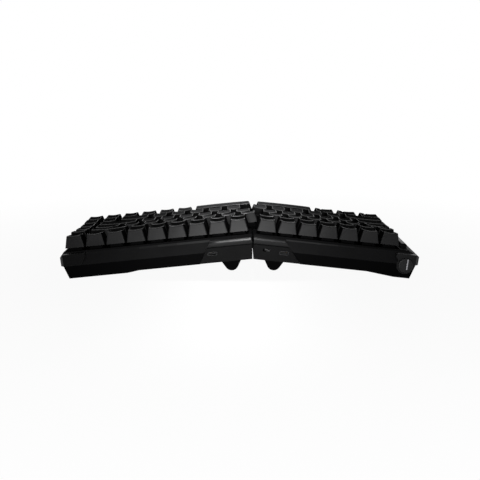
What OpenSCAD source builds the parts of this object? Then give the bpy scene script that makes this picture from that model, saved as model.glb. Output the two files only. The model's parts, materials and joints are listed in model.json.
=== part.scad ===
// Ergonomic split keyboard: two tented halves that meet along a stepped split line.
// Each half is built in its own frame: x is across, y is towards the rear and z is up.
// The frame's zero is on the split plane, at the rear of the function row's cells and at
// the lower edge of the keycaps. side is 1 for the right half and -1 for the left half.
// Places across a half are given as distances outward from the split plane.

/* [Keys] */
// Distance from one key to the next
key_pitch = 19.05; // [18.4:0.05:19.6]
// Gap between neighbouring keycaps at their lower edges
key_gap = 1; // [0.6:0.1:1.4]
// Travel of a key
key_travel = 3.5; // [2.5:0.1:4]
// Height of the function and number keycaps at their rear edge
tall_cap_h = 11.4; // [10:0.1:13]
// Height of the upper letter row's keycaps at their rear edge
upper_cap_h = 9.8; // [8.5:0.1:11]
// Height of the home and lower rows' keycaps at their rear edge
low_cap_h = 8.8; // [8:0.1:10]
// Fall of a tall keycap's top from its rear edge to its front edge
tall_cap_fall = 1.8; // [0.5:0.1:2.5]
// Rise of the lower rows' keycap tops from their rear edge to their front edge
low_cap_rise = 0.8; // [0:0.1:1.5]
// Width that each side of a keycap loses up to its top
cap_taper = 2.4; // [1.5:0.1:3]
// Depth that a keycap loses at its rear up to its top
cap_rear_lean = 1.9; // [1:0.1:3]
// Depth that a keycap loses at its front up to its top
cap_front_lean = 2.6; // [1.5:0.1:3.5]
// Wall of a keycap
cap_wall = 1.5; // [1.2:0.1:1.8]
// Thickness of a keycap's top
cap_roof = 2.6; // [2:0.1:3]
// Depth of the hollow in a keycap's top
cap_dish = 0.8; // [0.4:0.1:1.2]
// Diameter of the stem under a keycap
stem_d = 5.4; // [4.5:0.1:6]
// Length of the stem below the keycap's lower edge
stem_reach = 2.4; // [1.5:0.1:3]

/* [Switches] */
// Width of a switch's body where it passes the plate
switch_w = 13.8; // [13:0.1:14.2]
// Width of a switch's flange on the plate
flange_w = 14.8; // [14.4:0.1:15.2]
// Thickness of a switch's flange
flange_t = 0.8; // [0.5:0.1:1.2]
// Width of a switch's body at its top
switch_top_w = 10.4; // [9.5:0.1:11.5]
// Height of a switch above the plate
switch_h = 5.2; // [4.5:0.1:5.6]
// Height from the plate's top to the keycaps' lower edge
plate_drop = 5.8; // [5.6:0.1:6.6]
// Thickness of the switch plate
plate_t = 1.5; // [1:0.1:2]
// Space from the plate to the circuit board
board_drop = 3.5; // [3:0.1:4.5]
// Thickness of the circuit board
board_t = 1.6; // [1:0.1:2]

/* [Case] */
// Gap between the two halves
split_gap = 1; // [0.8:0.1:2]
// Distance from the split plane to the innermost function key's cell
cell_margin = 3.24; // [2.8:0.02:4]
// Height of the keycaps' lower edge at the split, above the desk
split_height = 44.9; // [42:0.1:48]
// Depth of the bezel's edge below the keycaps' lower edge
rim_drop = 3.1; // [2.5:0.1:4]
// Depth of the seam between the two shells below the keycaps' lower edge
seam_drop = 15; // [14.6:0.1:16]
// Depth of the case's bottom below the keycaps' lower edge
case_drop = 25.7; // [25:0.1:27]
// Width of the bezel beside the outermost keys of the right half
right_bezel = 1.3; // [1.2:0.05:3]
// Width of the sloped edge outside the right half's bezel
right_edge_w = 2.7; // [1.5:0.1:4]
// Height of the sloped edge outside the right half's bezel
right_edge_h = 3.6; // [2:0.1:5]
// Width of the sloped edge outside the left half's rail
left_edge_w = 9.2; // [8.6:0.1:12]
// Height of the sloped edge outside the left half's rail
left_edge_h = 4.2; // [3:0.1:5]
// Reach of the rear edge behind the function row's cells
rear_reach = 8; // [7:0.1:10]
// Reach of the front edge in front of the bottom row's cells
front_reach = 7.2; // [6.6:0.1:9]
// Thickness of the inner walls
wall = 1.4; // [1.2:0.1:1.6]
// Thickness of the case's floor
floor_t = 2.2; // [1.8:0.1:3]
// Ledge under the plate's edge
plate_ledge = 1.4; // [1.2:0.1:1.8]
// Clearance of pieces that are fitted into the case
fit_gap = 0.15; // [0.1:0.05:0.3]
// Width of the right half's deeper end
right_deep_w = 54; // [40:1:70]
// Depth of the right half's deeper end below the case's bottom
right_deep = 1.5; // [1:0.1:3]
// Width of the left half's deeper end
left_deep_w = 15; // [12:1:30]
// Depth of the left half's deeper end below the case's bottom
left_deep = 2.7; // [2:0.1:4]
// Length of the slope up to the right half's deeper end
right_ramp = 11; // [8:1:20]
// Length of the slope up to the left half's deeper end
left_ramp = 25; // [10:1:30]

/* [Ports] */
// Width of the right half's port panel at its upper edge
right_panel_w = 43.4; // [43:0.2:46]
// Width that the right half's port panel gains down to its lower edge
right_panel_flare = 7.6; // [5:0.2:10]
// Width of the left half's port panel at its upper edge
left_panel_w = 34.6; // [34:0.2:38]
// Width that the left half's port panel gains down to its lower edge
left_panel_flare = 11.4; // [8:0.2:14]
// Thickness of the port panel
panel_t = 2.8; // [2:0.1:3.2]
// Depth of the panel's upper edge below the keycaps' lower edge
panel_drop = 11.2; // [11:0.1:12]
// Height of the shadow groove over the panel
groove_h = 1.2; // [0.8:0.1:1.6]
// Width of a port's metal shell
port_w = 9; // [8.6:0.1:9.4]
// Height of a port's metal shell
port_h = 3.3; // [3:0.1:3.6]
// Length of a port's metal shell
port_len = 7.4; // [6.5:0.1:8]
// Distance from the split to the right half's port
right_port_x = 38.8; // [34:0.2:39]
// Distance from the split to the left half's port
left_port_x = 30.6; // [29:0.2:31]
// Depth of the ports' middle below the keycaps' lower edge
port_drop = 16.6; // [16:0.1:17.4]
// Distance from the split to the mode slider
slider_x = 14.2; // [12:0.2:15]
// Depth of the mode slider's middle below the keycaps' lower edge
slider_drop = 15.6; // [15.4:0.1:16.4]
// Travel of the mode slider
slider_travel = 3; // [2:0.1:4]

/* [Battery] */
// Width of a half's battery
battery_w = 50; // [30:1:60]
// Length of a half's battery
battery_len = 54; // [30:1:60]
// Thickness of a half's battery
battery_t = 5; // [3:0.1:6]
// Distance from the leg to the battery
battery_gap = 16; // [8:1:20]

/* [Legs and feet] */
// Distance from the split to the middle of the right half's legs
right_leg_x = 23.5; // [20:0.1:28]
// Distance from the split to the middle of the left half's legs
left_leg_x = 24.8; // [20:0.1:28]
// Distance from the rear of the function row to the rear leg's hinge
rear_leg_y = 27.5; // [24:0.5:32]
// Distance from the rear of the function row to the front leg's hinge
front_leg_y = 84; // [78:0.5:88]
// Width of a leg at its hinge
leg_w = 21; // [18:0.5:24]
// Thickness of a leg
leg_t = 4.4; // [3.5:0.1:4.6]
// Radius of a leg's tip
leg_tip_r = 6.6; // [5:0.1:7.5]
// Lean of a leg's sides from upright, in degrees
leg_lean = 30; // [25:1:38]
// Diameter of a leg's hinge pin
pin_d = 2; // [1.6:0.1:2.4]
// Width of a rubber foot
foot_w = 7; // [5:0.5:9]
// Length of a rubber foot
foot_len = 13; // [8:0.5:20]
// Least thickness of a rubber foot
foot_t = 0.5; // [0.3:0.1:1]

/* [Control knob] */
// Diameter of the control knob
knob_d = 13; // [12.4:0.1:13.6]
// Distance that the knob stands out behind the case
knob_proud = 2.2; // [1:0.1:4]
// Distance from the outermost key's cell to the knob's axis
knob_x = 5.7; // [5:0.1:6.4]
// Depth of the knob's axis below the keycaps' lower edge
knob_drop = 15.8; // [15.4:0.1:16.4]
// Diameter of the knob's shaft
shaft_d = 6; // [4:0.1:7]
// Length of the bar across the knob
bar_len = 9.8; // [8:0.1:10]
// Width of the bar across the knob
bar_w = 1.2; // [1:0.1:1.6]
// Height of the side rail above the keycaps' lower edge
rail_rise = 1.2; // [0:0.1:3]
// Width of the side rail
rail_w = 5.8; // [4:0.1:7]

/* [Hidden] */
$fn = 48;
left = -1;
right = 1;
// Reach of cutting shapes past the pieces that they cut
past = 60;

// Keys, in key pitches from the left edge: first edge and width of each key
row_count = 6;
split_u = 7;
right_end_u = 16;
function units(first, count) = [for (i = [0 : count - 1]) [first + i, 1]];
key_groups = [
    ["left_function_keys", left, 0, units(0, 7)],
    ["left_number_keys", left, 1, units(0, 7)],
    ["tab_key", left, 2, [[0, 1.5]]],
    ["left_upper_keys", left, 2, units(1.5, 5)],
    ["caps_key", left, 3, [[0, 1.75]]],
    ["left_home_keys", left, 3, units(1.75, 5)],
    ["left_shift_key", left, 4, [[0, 2.25]]],
    ["left_lower_keys", left, 4, units(2.25, 5)],
    ["left_modifier_keys", left, 5, [[0, 1.25], [1.25, 1.25], [2.5, 1.25]]],
    ["left_space_key", left, 5, [[3.75, 3.25]]],
    ["right_function_keys", right, 0, units(7, 9)],
    ["right_number_keys", right, 1, concat(units(7, 6), units(15, 1))],
    ["backspace_key", right, 1, [[13, 2]]],
    ["right_upper_keys", right, 2, concat(units(6.5, 7), units(15, 1))],
    ["backslash_key", right, 2, [[13.5, 1.5]]],
    ["right_home_keys", right, 3, concat(units(6.75, 6), units(15, 1))],
    ["enter_key", right, 3, [[12.75, 2.25]]],
    ["right_lower_keys", right, 4, concat(units(7.25, 5), units(14, 2))],
    ["right_shift_key", right, 4, [[12.25, 1.75]]],
    ["right_space_key", right, 5, [[6.75, 3.25]]],
    ["right_modifier_keys", right, 5, units(10, 6)],
];
// Keys of this width or more have guides beside their switch, and a bar has a plain top
guided_u = 2;
bar_u = 3;
function key_list(side) = [for (group = key_groups) if (group[1] == side)
    for (key = group[3]) [group[2], key[0], key[1]]];
function cell_x(side, u) = side * cell_margin + (u - split_u) * key_pitch;
function key_place(side, row, u, w) = [cell_x(side, u + w / 2), -(row + 0.5) * key_pitch, 0];
// Distance of a guide from its key's switch, in key pitches
guide_u = 0.625;
function guide_x(w) = key_pitch * (w < bar_u ? guide_u : 1);
// Rear and front heights of the keycaps in each row
cap_heights = [
    [tall_cap_h, tall_cap_h - tall_cap_fall],
    [tall_cap_h, tall_cap_h - tall_cap_fall],
    [upper_cap_h, upper_cap_h - tall_cap_fall / 2],
    [low_cap_h, low_cap_h],
    [low_cap_h, low_cap_h + low_cap_rise],
    [low_cap_h, low_cap_h + low_cap_rise],
];

// The split line steps sideways after these rows, by these shares of a key pitch
split_rows = [2, 3, 4, 5];
split_shift = [0, -0.5, -0.25, 0.25, -0.125];

// Levels below the keycaps' lower edge
plate_z = -plate_drop;
plate_low_z = plate_z - plate_t;
board_z = plate_low_z - board_drop;
board_low_z = board_z - board_t;
board_margin = 0.8;
floor_z = floor_t - case_drop;
stem_gap = 0.45;
bore_end_gap = 0.5;
bore_low_z = -(stem_reach + key_travel + bore_end_gap);
guide_reach = 1.4;
guide_post_d = 3.6;
guide_gap = 0.4;
guide_w = 6.4;
guide_d = 9;
guide_top_gap = 1.2;
guide_h = plate_drop - guide_top_gap;
guide_low_z = -(guide_reach + key_travel + guide_gap);

// Outer edges of a half
field_d = row_count * key_pitch;
function field_w(side) = cell_margin + (side == right ? right_end_u - split_u : split_u) * key_pitch;
// The left half's rail stands on the level strip beside its outermost keys
rail_gap = 2.6;
rail_margin = 0.2;
function bezel(side) = side == right ? right_bezel : rail_gap + rail_w + rail_margin;
function edge_w(side) = side == right ? right_edge_w : left_edge_w;
function edge_h(side) = side == right ? right_edge_h : left_edge_h;
function rim_x(side) = field_w(side) + bezel(side);
function end_x(side) = rim_x(side) + edge_w(side);
field_gap = 0.35;
rim_reach = 1.8;
wall_lean = 1;
rear_wall_y = rim_reach + wall_lean;
rear_wall_drop = 5.5;
prow_inset = 0.4;
lower_inset = 2;
end_step = 2.8;
end_inset = 6.1;
front_inset = 1.6;
front_deep_inset = 2.4;
function deep_w(side) = side == right ? right_deep_w : left_deep_w;
function deep(side) = side == right ? right_deep : left_deep;
function ramp(side) = side == right ? right_ramp : left_ramp;
function deep_x(side) = corner_x(side) - deep_w(side);
function deep_share(side, x) = min(1, max(0, 1 + (x - deep_x(side)) / ramp(side)));
function under_z(side, x) = -case_drop - deep(side) * deep_share(side, x);

// A half is tented until its outer lower corner is a foot's thickness above the desk
function corner_x(side) = end_x(side) - end_inset;
function corner_drop(side) = case_drop + deep(side);
function tent(side) = asin((split_height - foot_t) / norm([corner_x(side), corner_drop(side)]))
    - atan2(corner_drop(side), corner_x(side));

// The origin is below the middle of the whole keyboard, on the desk
function end_drop(side) = rim_drop + edge_h(side);
function world_end(side) = end_x(side) * cos(tent(side)) - end_drop(side) * sin(tent(side));
split_x = (world_end(left) - world_end(right)) / 2;
total_d = rear_reach + knob_proud + field_d + front_reach;
cells_y = total_d / 2 - rear_reach - knob_proud;

// Ports
panel_y = rear_reach - panel_t;
panel_lift = 0.7;
panel_low_z = panel_lift - case_drop;
function panel_w(side) = side == right ? right_panel_w : left_panel_w;
function panel_low_w(side) = panel_w(side) + (side == right ? right_panel_flare : left_panel_flare);
brow_end = 1;
brow_lean = 5;
brow_face_h = 1.2;
brow_steps = 8;
port_wall = 2.2;
port_room_y = panel_y - port_wall;
port_gap = 0.2;
port_shell = 0.35;
port_back = 1;
port_sink = 0.2;
tongue_w = 6.7;
tongue_t = 0.7;
tongue_sink = 0.7;
post_d = 3;
post_y = -8;
post_inset = 2;
port_board_t = 1.2;
port_board_gap = 0.3;
port_board_z = -port_drop - port_h / 2 - port_board_t;
port_board_w = 15;
port_board_len = 16;
function port_x(side) = side == right ? right_port_x : left_port_x;
slider_w = 2.8;
slider_h = 2;
slider_proud = 0.9;
slider_gap = 0.3;
slider_lip = 1.4;
slider_base_t = 1.2;
port_room_gap = 1;
function port_room_end(side) = port_x(side) + port_board_w / 2 + port_room_gap;

// Legs
hinge_r = 2.4;
hinge_sink = 0.2;
hinge_z = -case_drop + hinge_r + hinge_sink;
function leg_x(side) = side == right ? right_leg_x : left_leg_x;
pin_fit = 0.05;
leg_gap = 0.35;
function tip_z(side) = (leg_tip_r - split_height + leg_x(side) * sin(tent(side))) / cos(tent(side));
function leg_len(side) = hinge_z - tip_z(side) + leg_tip_r;
pocket_top_z = hinge_z + hinge_r + leg_gap;
foot_y = 3;
foot_inset = 1;
foot_stock = 3;

// Screws
screw_d = 2.4;
screw_head_d = 4.4;
screw_head_h = 1.4;
screw_head_gap = 0.2;
screw_sink = 0.4;
screw_drive = 0.9;
screw_grip = 6;
screw_top_z = screw_grip - seam_drop;
screw_rear_y = 0.8;
screw_front_y = -field_d - 2.4;
screw_shares = [0.4, 0.62, 0.94];
function screw_places(side) = [for (share = screw_shares) for (y = [screw_rear_y, screw_front_y])
    [field_w(side) * share, y]];

// Control knob
knob_axis_x = field_w(left) + knob_x;
knob_face_y = rear_reach + knob_proud;
knob_seat = 1.3;
knob_gap = 0.4;
knob_rim = 1.6;
knob_boss_d = knob_d + 2 * knob_rim;
disc_y = rear_reach - knob_seat + knob_gap;
shaft_fit = 0.05;
shaft_gap = 0.5;
shaft_len = 12.5;
encoder_w = 9.2;
encoder_len = 9;
encoder_h = 10.6;
encoder_y = -1;
bar_proud = 0.7;
bar_sink = 0.8;
bar_fit = 0.02;
bar_shift = 1.2;
bar_rise = 1.2;
rail_rear_y = -8;
rail_front_gap = 2;
rail_inner_cut = 0.8;
rail_outer_cut = 1.4;
cap_y = 2.2;
corner_cut = 3;

// Corner caps
right_cap_w = 24;
left_cap_w = 22;
right_cap_drop = 1;
left_cap_drop = 2.4;
cap_low_lean = 5;
cap_top_lean = 1;
cap_end_cut = 3.2;
cap_side_h = 2.2;

case_colour = "#1c1c1e";
key_colour = "#2a2a2c";
metal_colour = "#b9bcc0";
rubber_colour = "#121212";

// Frames and plain shapes

// Moves a half from its own frame to its place
module tented(side) {
    translate([split_x, cells_y, split_height]) rotate([0, side * tent(side), 0]) children();
}

// A box between outward distances x0 and x1
module slab(side, x0, x1, y0, y1, z0, z1) {
    translate([side > 0 ? x0 : -x1, y0, z0]) cube([x1 - x0, y1 - y0, z1 - z0]);
}

// An outline of outward distances and heights, drawn out from y0 to y1
module along_y(side, points, y0, y1) {
    translate([0, y1, 0]) rotate([90, 0, 0]) linear_extrude(height = y1 - y0)
        polygon([for (p = points) [side * p[0], p[1]]]);
}

// An outline of depths and heights, drawn out between outward distances x0 and x1
module along_x(side, points, x0, x1) {
    translate([side > 0 ? x0 : -x1, 0, 0]) rotate([90, 0, 90]) linear_extrude(height = x1 - x0)
        polygon(points);
}

// A cylinder along y, between y0 and y1
module rod_y(x, z, d, y0, y1) {
    translate([x, y1, z]) rotate([90, 0, 0]) cylinder(d = d, h = y1 - y0);
}

// A cylinder along x, between x0 and x1
module rod_x(y, z, d, x0, x1) {
    translate([x0, y, z]) rotate([0, 90, 0]) cylinder(d = d, h = x1 - x0);
}

// A bar along y with round ends, of the outline that a port has
module port_bar(w, h, y0, y1) {
    for (end = [-1, 1]) rod_y(end * (w - h) / 2, 0, h, y0, y1);
    translate([-(w - h) / 2, y0, -h / 2]) cube([w - h, y1 - y0, h]);
}

// Split line

// Depth of the edge between two rows, for a half whose edge is set back from the split line
function step_y(i, side, back) =
    -split_rows[i] * key_pitch + side * sign(split_shift[i + 1] - split_shift[i]) * back;

// Edge of a half along the split line, set back from it
function split_edge(side, back) = [for (i = [0 : len(split_shift) - 1]) for (end = [0, 1]) [
    split_shift[i] * key_pitch + side * back,
    end == 0 ? (i == 0 ? past : step_y(i - 1, side, back))
        : (i == len(split_rows) ? -field_d - past : step_y(i, side, back))
]];

// Upright space on one half's side of the split line
module split_space(side, back) {
    far_x = side * (field_w(side) + past);
    translate([split_x, cells_y, -past]) linear_extrude(height = split_height + 3 * past)
        polygon(concat(split_edge(side, back), [[far_x, -field_d - past], [far_x, past]]));
}

// A half's own space, cut back from the split line
module half_space(side, back) {
    intersection() {
        tented(side) children();
        split_space(side, back);
    }
}

// Case

// Plan of a half with its outer corners cut off
module corner_plan(side) {
    end = end_x(side);
    front = -field_d - front_reach;
    plan = [[-past, front], [end - corner_cut, front], [end, front + corner_cut],
        [end, rear_reach - corner_cut], [end - corner_cut, rear_reach], [-past, rear_reach]];
    translate([0, 0, -past]) linear_extrude(height = 2 * past)
        polygon([for (p = plan) [side * p[0], p[1]]]);
}

module top_block(side) {
    front_rim_y = -field_d - rim_reach;
    intersection() {
        along_x(side, [
            [rim_reach, -rim_drop], [rear_wall_y, -rear_wall_drop], [rear_reach, -seam_drop],
            [-field_d - front_reach, -seam_drop], [front_rim_y - wall_lean, -rear_wall_drop],
            [front_rim_y, -rim_drop]
        ], -past, end_x(side) + past);
        along_y(side, [
            [-past, -rim_drop], [rim_x(side), -rim_drop], [end_x(side), -end_drop(side)],
            [end_x(side), -seam_drop], [-past, -seam_drop]
        ], -field_d - past, past);
        corner_plan(side);
    }
}

module bottom_block(side) {
    low = corner_drop(side);
    deep_lean = lower_inset * deep(side) / (case_drop - seam_drop);
    front = -field_d - front_reach;
    intersection() {
        along_x(side, [
            [rear_reach - prow_inset, -seam_drop], [rear_reach - lower_inset, -case_drop],
            [rear_reach - lower_inset - deep_lean, -low], [front + front_deep_inset, -low],
            [front + front_inset, -case_drop], [front + prow_inset, -seam_drop]
        ], -past, end_x(side));
        along_y(side, [
            [-past, -seam_drop], [end_x(side) - end_step, -seam_drop], [corner_x(side), -low],
            [deep_x(side), -low], [deep_x(side) - ramp(side), -case_drop], [-past, -case_drop]
        ], -field_d - past, past);
        corner_plan(side);
    }
}

// Overhanging edge with a round nose over the port panel
module brow(side) {
    low = groove_h - panel_drop;
    nose_w = rear_reach - rear_wall_y;
    nose_h = -rear_wall_drop - low - brow_face_h;
    end = panel_w(side) - brow_end;
    nose = [for (i = [0 : brow_steps]) [rear_wall_y + nose_w * sin(90 * i / brow_steps),
        -rear_wall_drop - nose_h * (1 - cos(90 * i / brow_steps))]];
    intersection() {
        along_x(side, concat([[0, low], [0, -rear_wall_drop]], nose, [[rear_reach, low]]), -past, end);
        along_y(side, [[-past, 0], [end - brow_lean, 0], [end, low], [-past, low]], 0, rear_reach);
    }
}

// Space of the port panel with a gap all round, from a gap over the panel down to a set level
module panel_space(side, gap, top_gap, low_z) {
    top = top_gap - panel_drop;
    end = panel_low_w(side) + gap;
    along_y(side, [
        [-past, top], [panel_w(side) + gap, top], [end, panel_low_z], [end, low_z], [-past, low_z]
    ], panel_y - gap, rear_reach + gap);
}

// Inner room of a half, from the floor to the plate
module inner_room(side) {
    slab(side, -past, field_w(side) - plate_ledge, -field_d + plate_ledge, -plate_ledge,
        floor_z, plate_low_z);
}

// Room behind the port panel
module port_room(side) {
    slab(side, cell_margin, port_room_end(side), -plate_ledge - 1, port_room_y, floor_z, board_low_z);
}

module port_window(side) {
    translate([side * port_x(side), 0, -port_drop])
        port_bar(port_w + 2 * port_gap, port_h + 2 * port_gap, port_room_y - port_wall, past);
}

module slider_window() {
    w = slider_w + slider_travel + 2 * slider_gap;
    h = slider_h + 2 * slider_gap;
    translate([-slider_x - w / 2, port_room_y - port_wall, -slider_drop - h / 2]) cube([w, past, h]);
}

// Space that the corner cap takes
module corner_space(side) {
    end = end_x(side);
    inner = end - (side == right ? right_cap_w : left_cap_w);
    top = -rim_drop - (side == right ? right_cap_drop : left_cap_drop);
    along_y(side, [
        [inner, top - cap_side_h], [inner + cap_low_lean, -seam_drop], [end, -seam_drop],
        [end, -end_drop(side)], [end - cap_end_cut, top], [inner + cap_top_lean, top]
    ], cap_y, rear_reach);
    if (side == left) rod_y(-knob_axis_x, -knob_drop, knob_boss_d, cap_y, rear_reach);
}

module screw_holes(side) {
    for (place = screw_places(side)) translate([side * place[0], place[1], under_z(side, place[0])]) {
        translate([0, 0, -past])
            cylinder(d = screw_head_d + 2 * screw_head_gap, h = past + screw_sink + screw_head_h);
        cylinder(d = screw_d, h = screw_top_z - under_z(side, place[0]));
    }
}

module encoder_space(gap) {
    size = [encoder_w, encoder_len, encoder_h] + 2 * gap * [1, 1, 1];
    translate([-knob_axis_x, encoder_y - encoder_len / 2, -knob_drop]) cube(size, center = true);
}

// Way for the knob's shaft through the case
module shaft_way() {
    rod_y(-knob_axis_x, -knob_drop, shaft_d + 2 * shaft_gap, encoder_y - 1, rear_reach);
}

module top_case(side) color(case_colour) difference() {
    half_space(side, split_gap / 2) difference() {
        union() {
            top_block(side);
            brow(side);
        }
        slab(side, -past, field_w(side) + field_gap, -field_d - field_gap, field_gap, plate_low_z, past);
        panel_space(side, fit_gap, groove_h, -case_drop);
        corner_space(side);
        screw_holes(side);
        if (side == left) encoder_space(fit_gap);
        if (side == left) shaft_way();
    }
    half_space(side, split_gap / 2 + wall) {
        inner_room(side);
        port_room(side);
        port_window(side);
        if (side == left) slider_window();
    }
}

module leg_pocket(side, hinge_y, grow) {
    reach = leg_len(side) + leg_gap;
    half = leg_w / 2 + leg_gap + grow;
    slab(side, leg_x(side) - half, leg_x(side) + half, hinge_y - reach - grow,
        hinge_y + hinge_r + leg_gap + grow, grow == 0 ? -case_drop - 1 : -case_drop, pocket_top_z + grow);
}

module port_posts(side) {
    low = floor_z - floor_t / 2;
    for (hand = [-1, 1])
        translate([side * port_x(side) + hand * (port_board_w / 2 - post_inset), post_y, low])
            cylinder(d = post_d, h = port_board_z - low);
}

module bottom_case(side) color(case_colour) difference() {
    union() {
        difference() {
            half_space(side, split_gap / 2) difference() {
                bottom_block(side);
                panel_space(side, fit_gap, 0, -past);
                corner_space(side);
                screw_holes(side);
            }
            half_space(side, split_gap / 2 + wall) {
                inner_room(side);
                port_room(side);
                port_window(side);
                if (side == left) slider_window();
                if (side == left) encoder_space(fit_gap);
                if (side == left) shaft_way();
            }
        }
        tented(side) {
            for (y = [rear_leg_y, front_leg_y]) leg_pocket(side, -y, wall);
            port_posts(side);
        }
    }
    tented(side) for (y = [rear_leg_y, front_leg_y]) {
        leg_pocket(side, -y, 0);
        leg_pin(side, -y);
    }
}

module port_panel(side) color(case_colour) half_space(side, split_gap / 2) difference() {
    along_y(side, [
        [-past, -panel_drop], [panel_w(side), -panel_drop],
        [panel_low_w(side), panel_low_z], [-past, panel_low_z]
    ], panel_y, rear_reach);
    port_window(side);
    if (side == left) slider_window();
}

module corner_cap(side) color(case_colour) tented(side) difference() {
    intersection() {
        corner_space(side);
        corner_plan(side);
    }
    if (side == left) {
        rod_y(-knob_axis_x, -knob_drop, knob_d + 2 * knob_gap, rear_reach - knob_seat, past);
        shaft_way();
    }
}

// Inside

module switch_plate(side) color(metal_colour) half_space(side, split_gap / 2 + fit_gap) difference() {
    edge = field_gap - fit_gap;
    slab(side, -past, field_w(side) + edge, -field_d - edge, edge, plate_low_z, plate_z);
    for (key = key_list(side)) translate(key_place(side, key[0], key[1], key[2]))
        cube([switch_w + 2 * fit_gap, switch_w + 2 * fit_gap, past], center = true);
}

module tapered_block(w0, w1, h) {
    outline = [[-w0 / 2, 0], [w0 / 2, 0], [w1 / 2, h], [-w1 / 2, h]];
    intersection() {
        rotate([90, 0, 0]) linear_extrude(height = w0, center = true) polygon(outline);
        rotate([90, 0, 90]) linear_extrude(height = w0, center = true) polygon(outline);
    }
}

module key_switch() {
    difference() {
        union() {
            translate([-switch_w / 2, -switch_w / 2, board_z])
                cube([switch_w, switch_w, plate_z - board_z]);
            translate([-flange_w / 2, -flange_w / 2, plate_z]) cube([flange_w, flange_w, flange_t]);
            translate([0, 0, plate_z + flange_t])
                tapered_block(switch_w, switch_top_w, switch_h - flange_t);
        }
        translate([0, 0, bore_low_z]) cylinder(d = stem_d + 2 * stem_gap, h = past);
    }
}

module switches(side) color("#3a3a3d") tented(side) {
    for (key = key_list(side)) translate(key_place(side, key[0], key[1], key[2])) key_switch();
}

module key_guides(side) color("#3a3a3d") tented(side) {
    for (key = key_list(side)) if (key[2] >= guided_u) for (hand = [-1, 1])
        translate(key_place(side, key[0], key[1], key[2]) + [hand * guide_x(key[2]), 0, plate_z])
            difference() {
                translate([-guide_w / 2, -guide_d / 2, 0]) cube([guide_w, guide_d, guide_h]);
                translate([0, 0, guide_low_z - plate_z])
                    cylinder(d = guide_post_d + 2 * guide_gap, h = past);
            }
}

module circuit_board(side) color("#1f4d36") half_space(side, split_gap / 2 + wall + fit_gap) {
    inset = (key_pitch - switch_w) / 2 - board_margin;
    slab(side, -past, field_w(side) - inset, -field_d + inset, -inset, board_low_z, board_z);
}

module battery(side) color("#6b7280") tented(side) {
    x = leg_x(side) + leg_w / 2 + battery_gap;
    y = -field_d / 2 - battery_len / 2;
    slab(side, x, x + battery_w, y, y + battery_len, floor_z, floor_z + battery_t);
}

module port_board(side) color("#1f4d36") tented(side) {
    y = port_room_y - port_board_gap - port_board_len;
    translate([side * port_x(side) - port_board_w / 2, y, port_board_z])
        cube([port_board_w, port_board_len, port_board_t]);
}

module usb_socket(side) color(metal_colour) tented(side) translate([side * port_x(side), 0, -port_drop]) {
    face = rear_reach - port_sink;
    back = face - port_len;
    tongue_len = port_len - port_back / 2 - tongue_sink;
    difference() {
        port_bar(port_w, port_h, back, face);
        port_bar(port_w - 2 * port_shell, port_h - 2 * port_shell, back + port_back, face + 1);
    }
    translate([-tongue_w / 2, back + port_back / 2, -tongue_t / 2])
        cube([tongue_w, tongue_len, tongue_t]);
}

module case_screws(side) color(metal_colour) tented(side) {
    for (place = screw_places(side)) {
        low = under_z(side, place[0]) + screw_sink;
        translate([side * place[0], place[1], low]) difference() {
            union() {
                cylinder(d = screw_head_d, h = screw_head_h);
                cylinder(d = screw_d, h = screw_top_z - low);
            }
            translate([0, 0, -screw_drive]) cylinder(d = screw_d, h = 2 * screw_drive, $fn = 6);
        }
    }
}

// Legs and feet

module leg(side, hinge_y) color(case_colour) tented(side) translate([side * leg_x(side), -hinge_y, 0]) {
    half = leg_w / 2;
    tip = tip_z(side);
    tip_x = leg_tip_r * cos(leg_lean);
    tip_low = tip - leg_tip_r * sin(leg_lean);
    shoulder = tip_low + (half - tip_x) / tan(leg_lean);
    difference() {
        union() {
            translate([0, leg_t / 2, 0]) rotate([90, 0, 0]) linear_extrude(height = leg_t) polygon([
                [-half, hinge_z], [-half, shoulder], [-tip_x, tip_low],
                [tip_x, tip_low], [half, shoulder], [half, hinge_z]
            ]);
            rod_y(0, tip, 2 * leg_tip_r, -leg_t / 2, leg_t / 2);
            rod_x(0, hinge_z, 2 * hinge_r, -half, half);
        }
        rod_x(0, hinge_z, pin_d + 2 * pin_fit, -half - 1, half + 1);
    }
}

module leg_pin(side, y) {
    half = leg_w / 2 + wall;
    rod_x(y, hinge_z, pin_d, side * leg_x(side) - half, side * leg_x(side) + half);
}

module leg_pins(side) color(metal_colour) tented(side) {
    for (y = [rear_leg_y, front_leg_y]) leg_pin(side, -y);
}

module feet(side) color(rubber_colour) difference() {
    x = corner_x(side) - foot_inset;
    top = -corner_drop(side);
    tented(side) for (y = [-foot_y - foot_len, -field_d + foot_y])
        slab(side, x - foot_w, x, y, y + foot_len, top - foot_stock, top);
    translate([-5 * past, -5 * past, -past]) cube([10 * past, 10 * past, past]);
}

// Controls

module side_rail() color(case_colour) tented(left) {
    inner = field_w(left) + rail_gap;
    outer = inner + rail_w;
    along_y(left, [
        [inner, -rim_drop], [inner, rail_rise - rail_inner_cut], [inner + rail_inner_cut, rail_rise],
        [outer - rail_outer_cut, rail_rise], [outer, rail_rise - rail_outer_cut], [outer, -rim_drop]
    ], -field_d + rail_front_gap, rail_rear_y);
}

module control_knob() color("#111112") tented(left) difference() {
    union() {
        rod_y(-knob_axis_x, -knob_drop, knob_d, disc_y, knob_face_y - bar_proud);
        rod_y(-knob_axis_x, -knob_drop, shaft_d, rear_reach - shaft_len, rear_reach);
    }
    knob_slot(bar_fit);
}

module knob_slot(gap) {
    low = knob_face_y - bar_proud - bar_sink;
    x = -knob_axis_x - bar_shift - bar_w / 2;
    translate([x - gap, low - gap, bar_rise - knob_drop - bar_len / 2 - gap])
        cube([bar_w + 2 * gap, bar_proud + bar_sink + gap, bar_len + 2 * gap]);
}

module knob_bar() color(metal_colour) tented(left) knob_slot(0);

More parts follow.
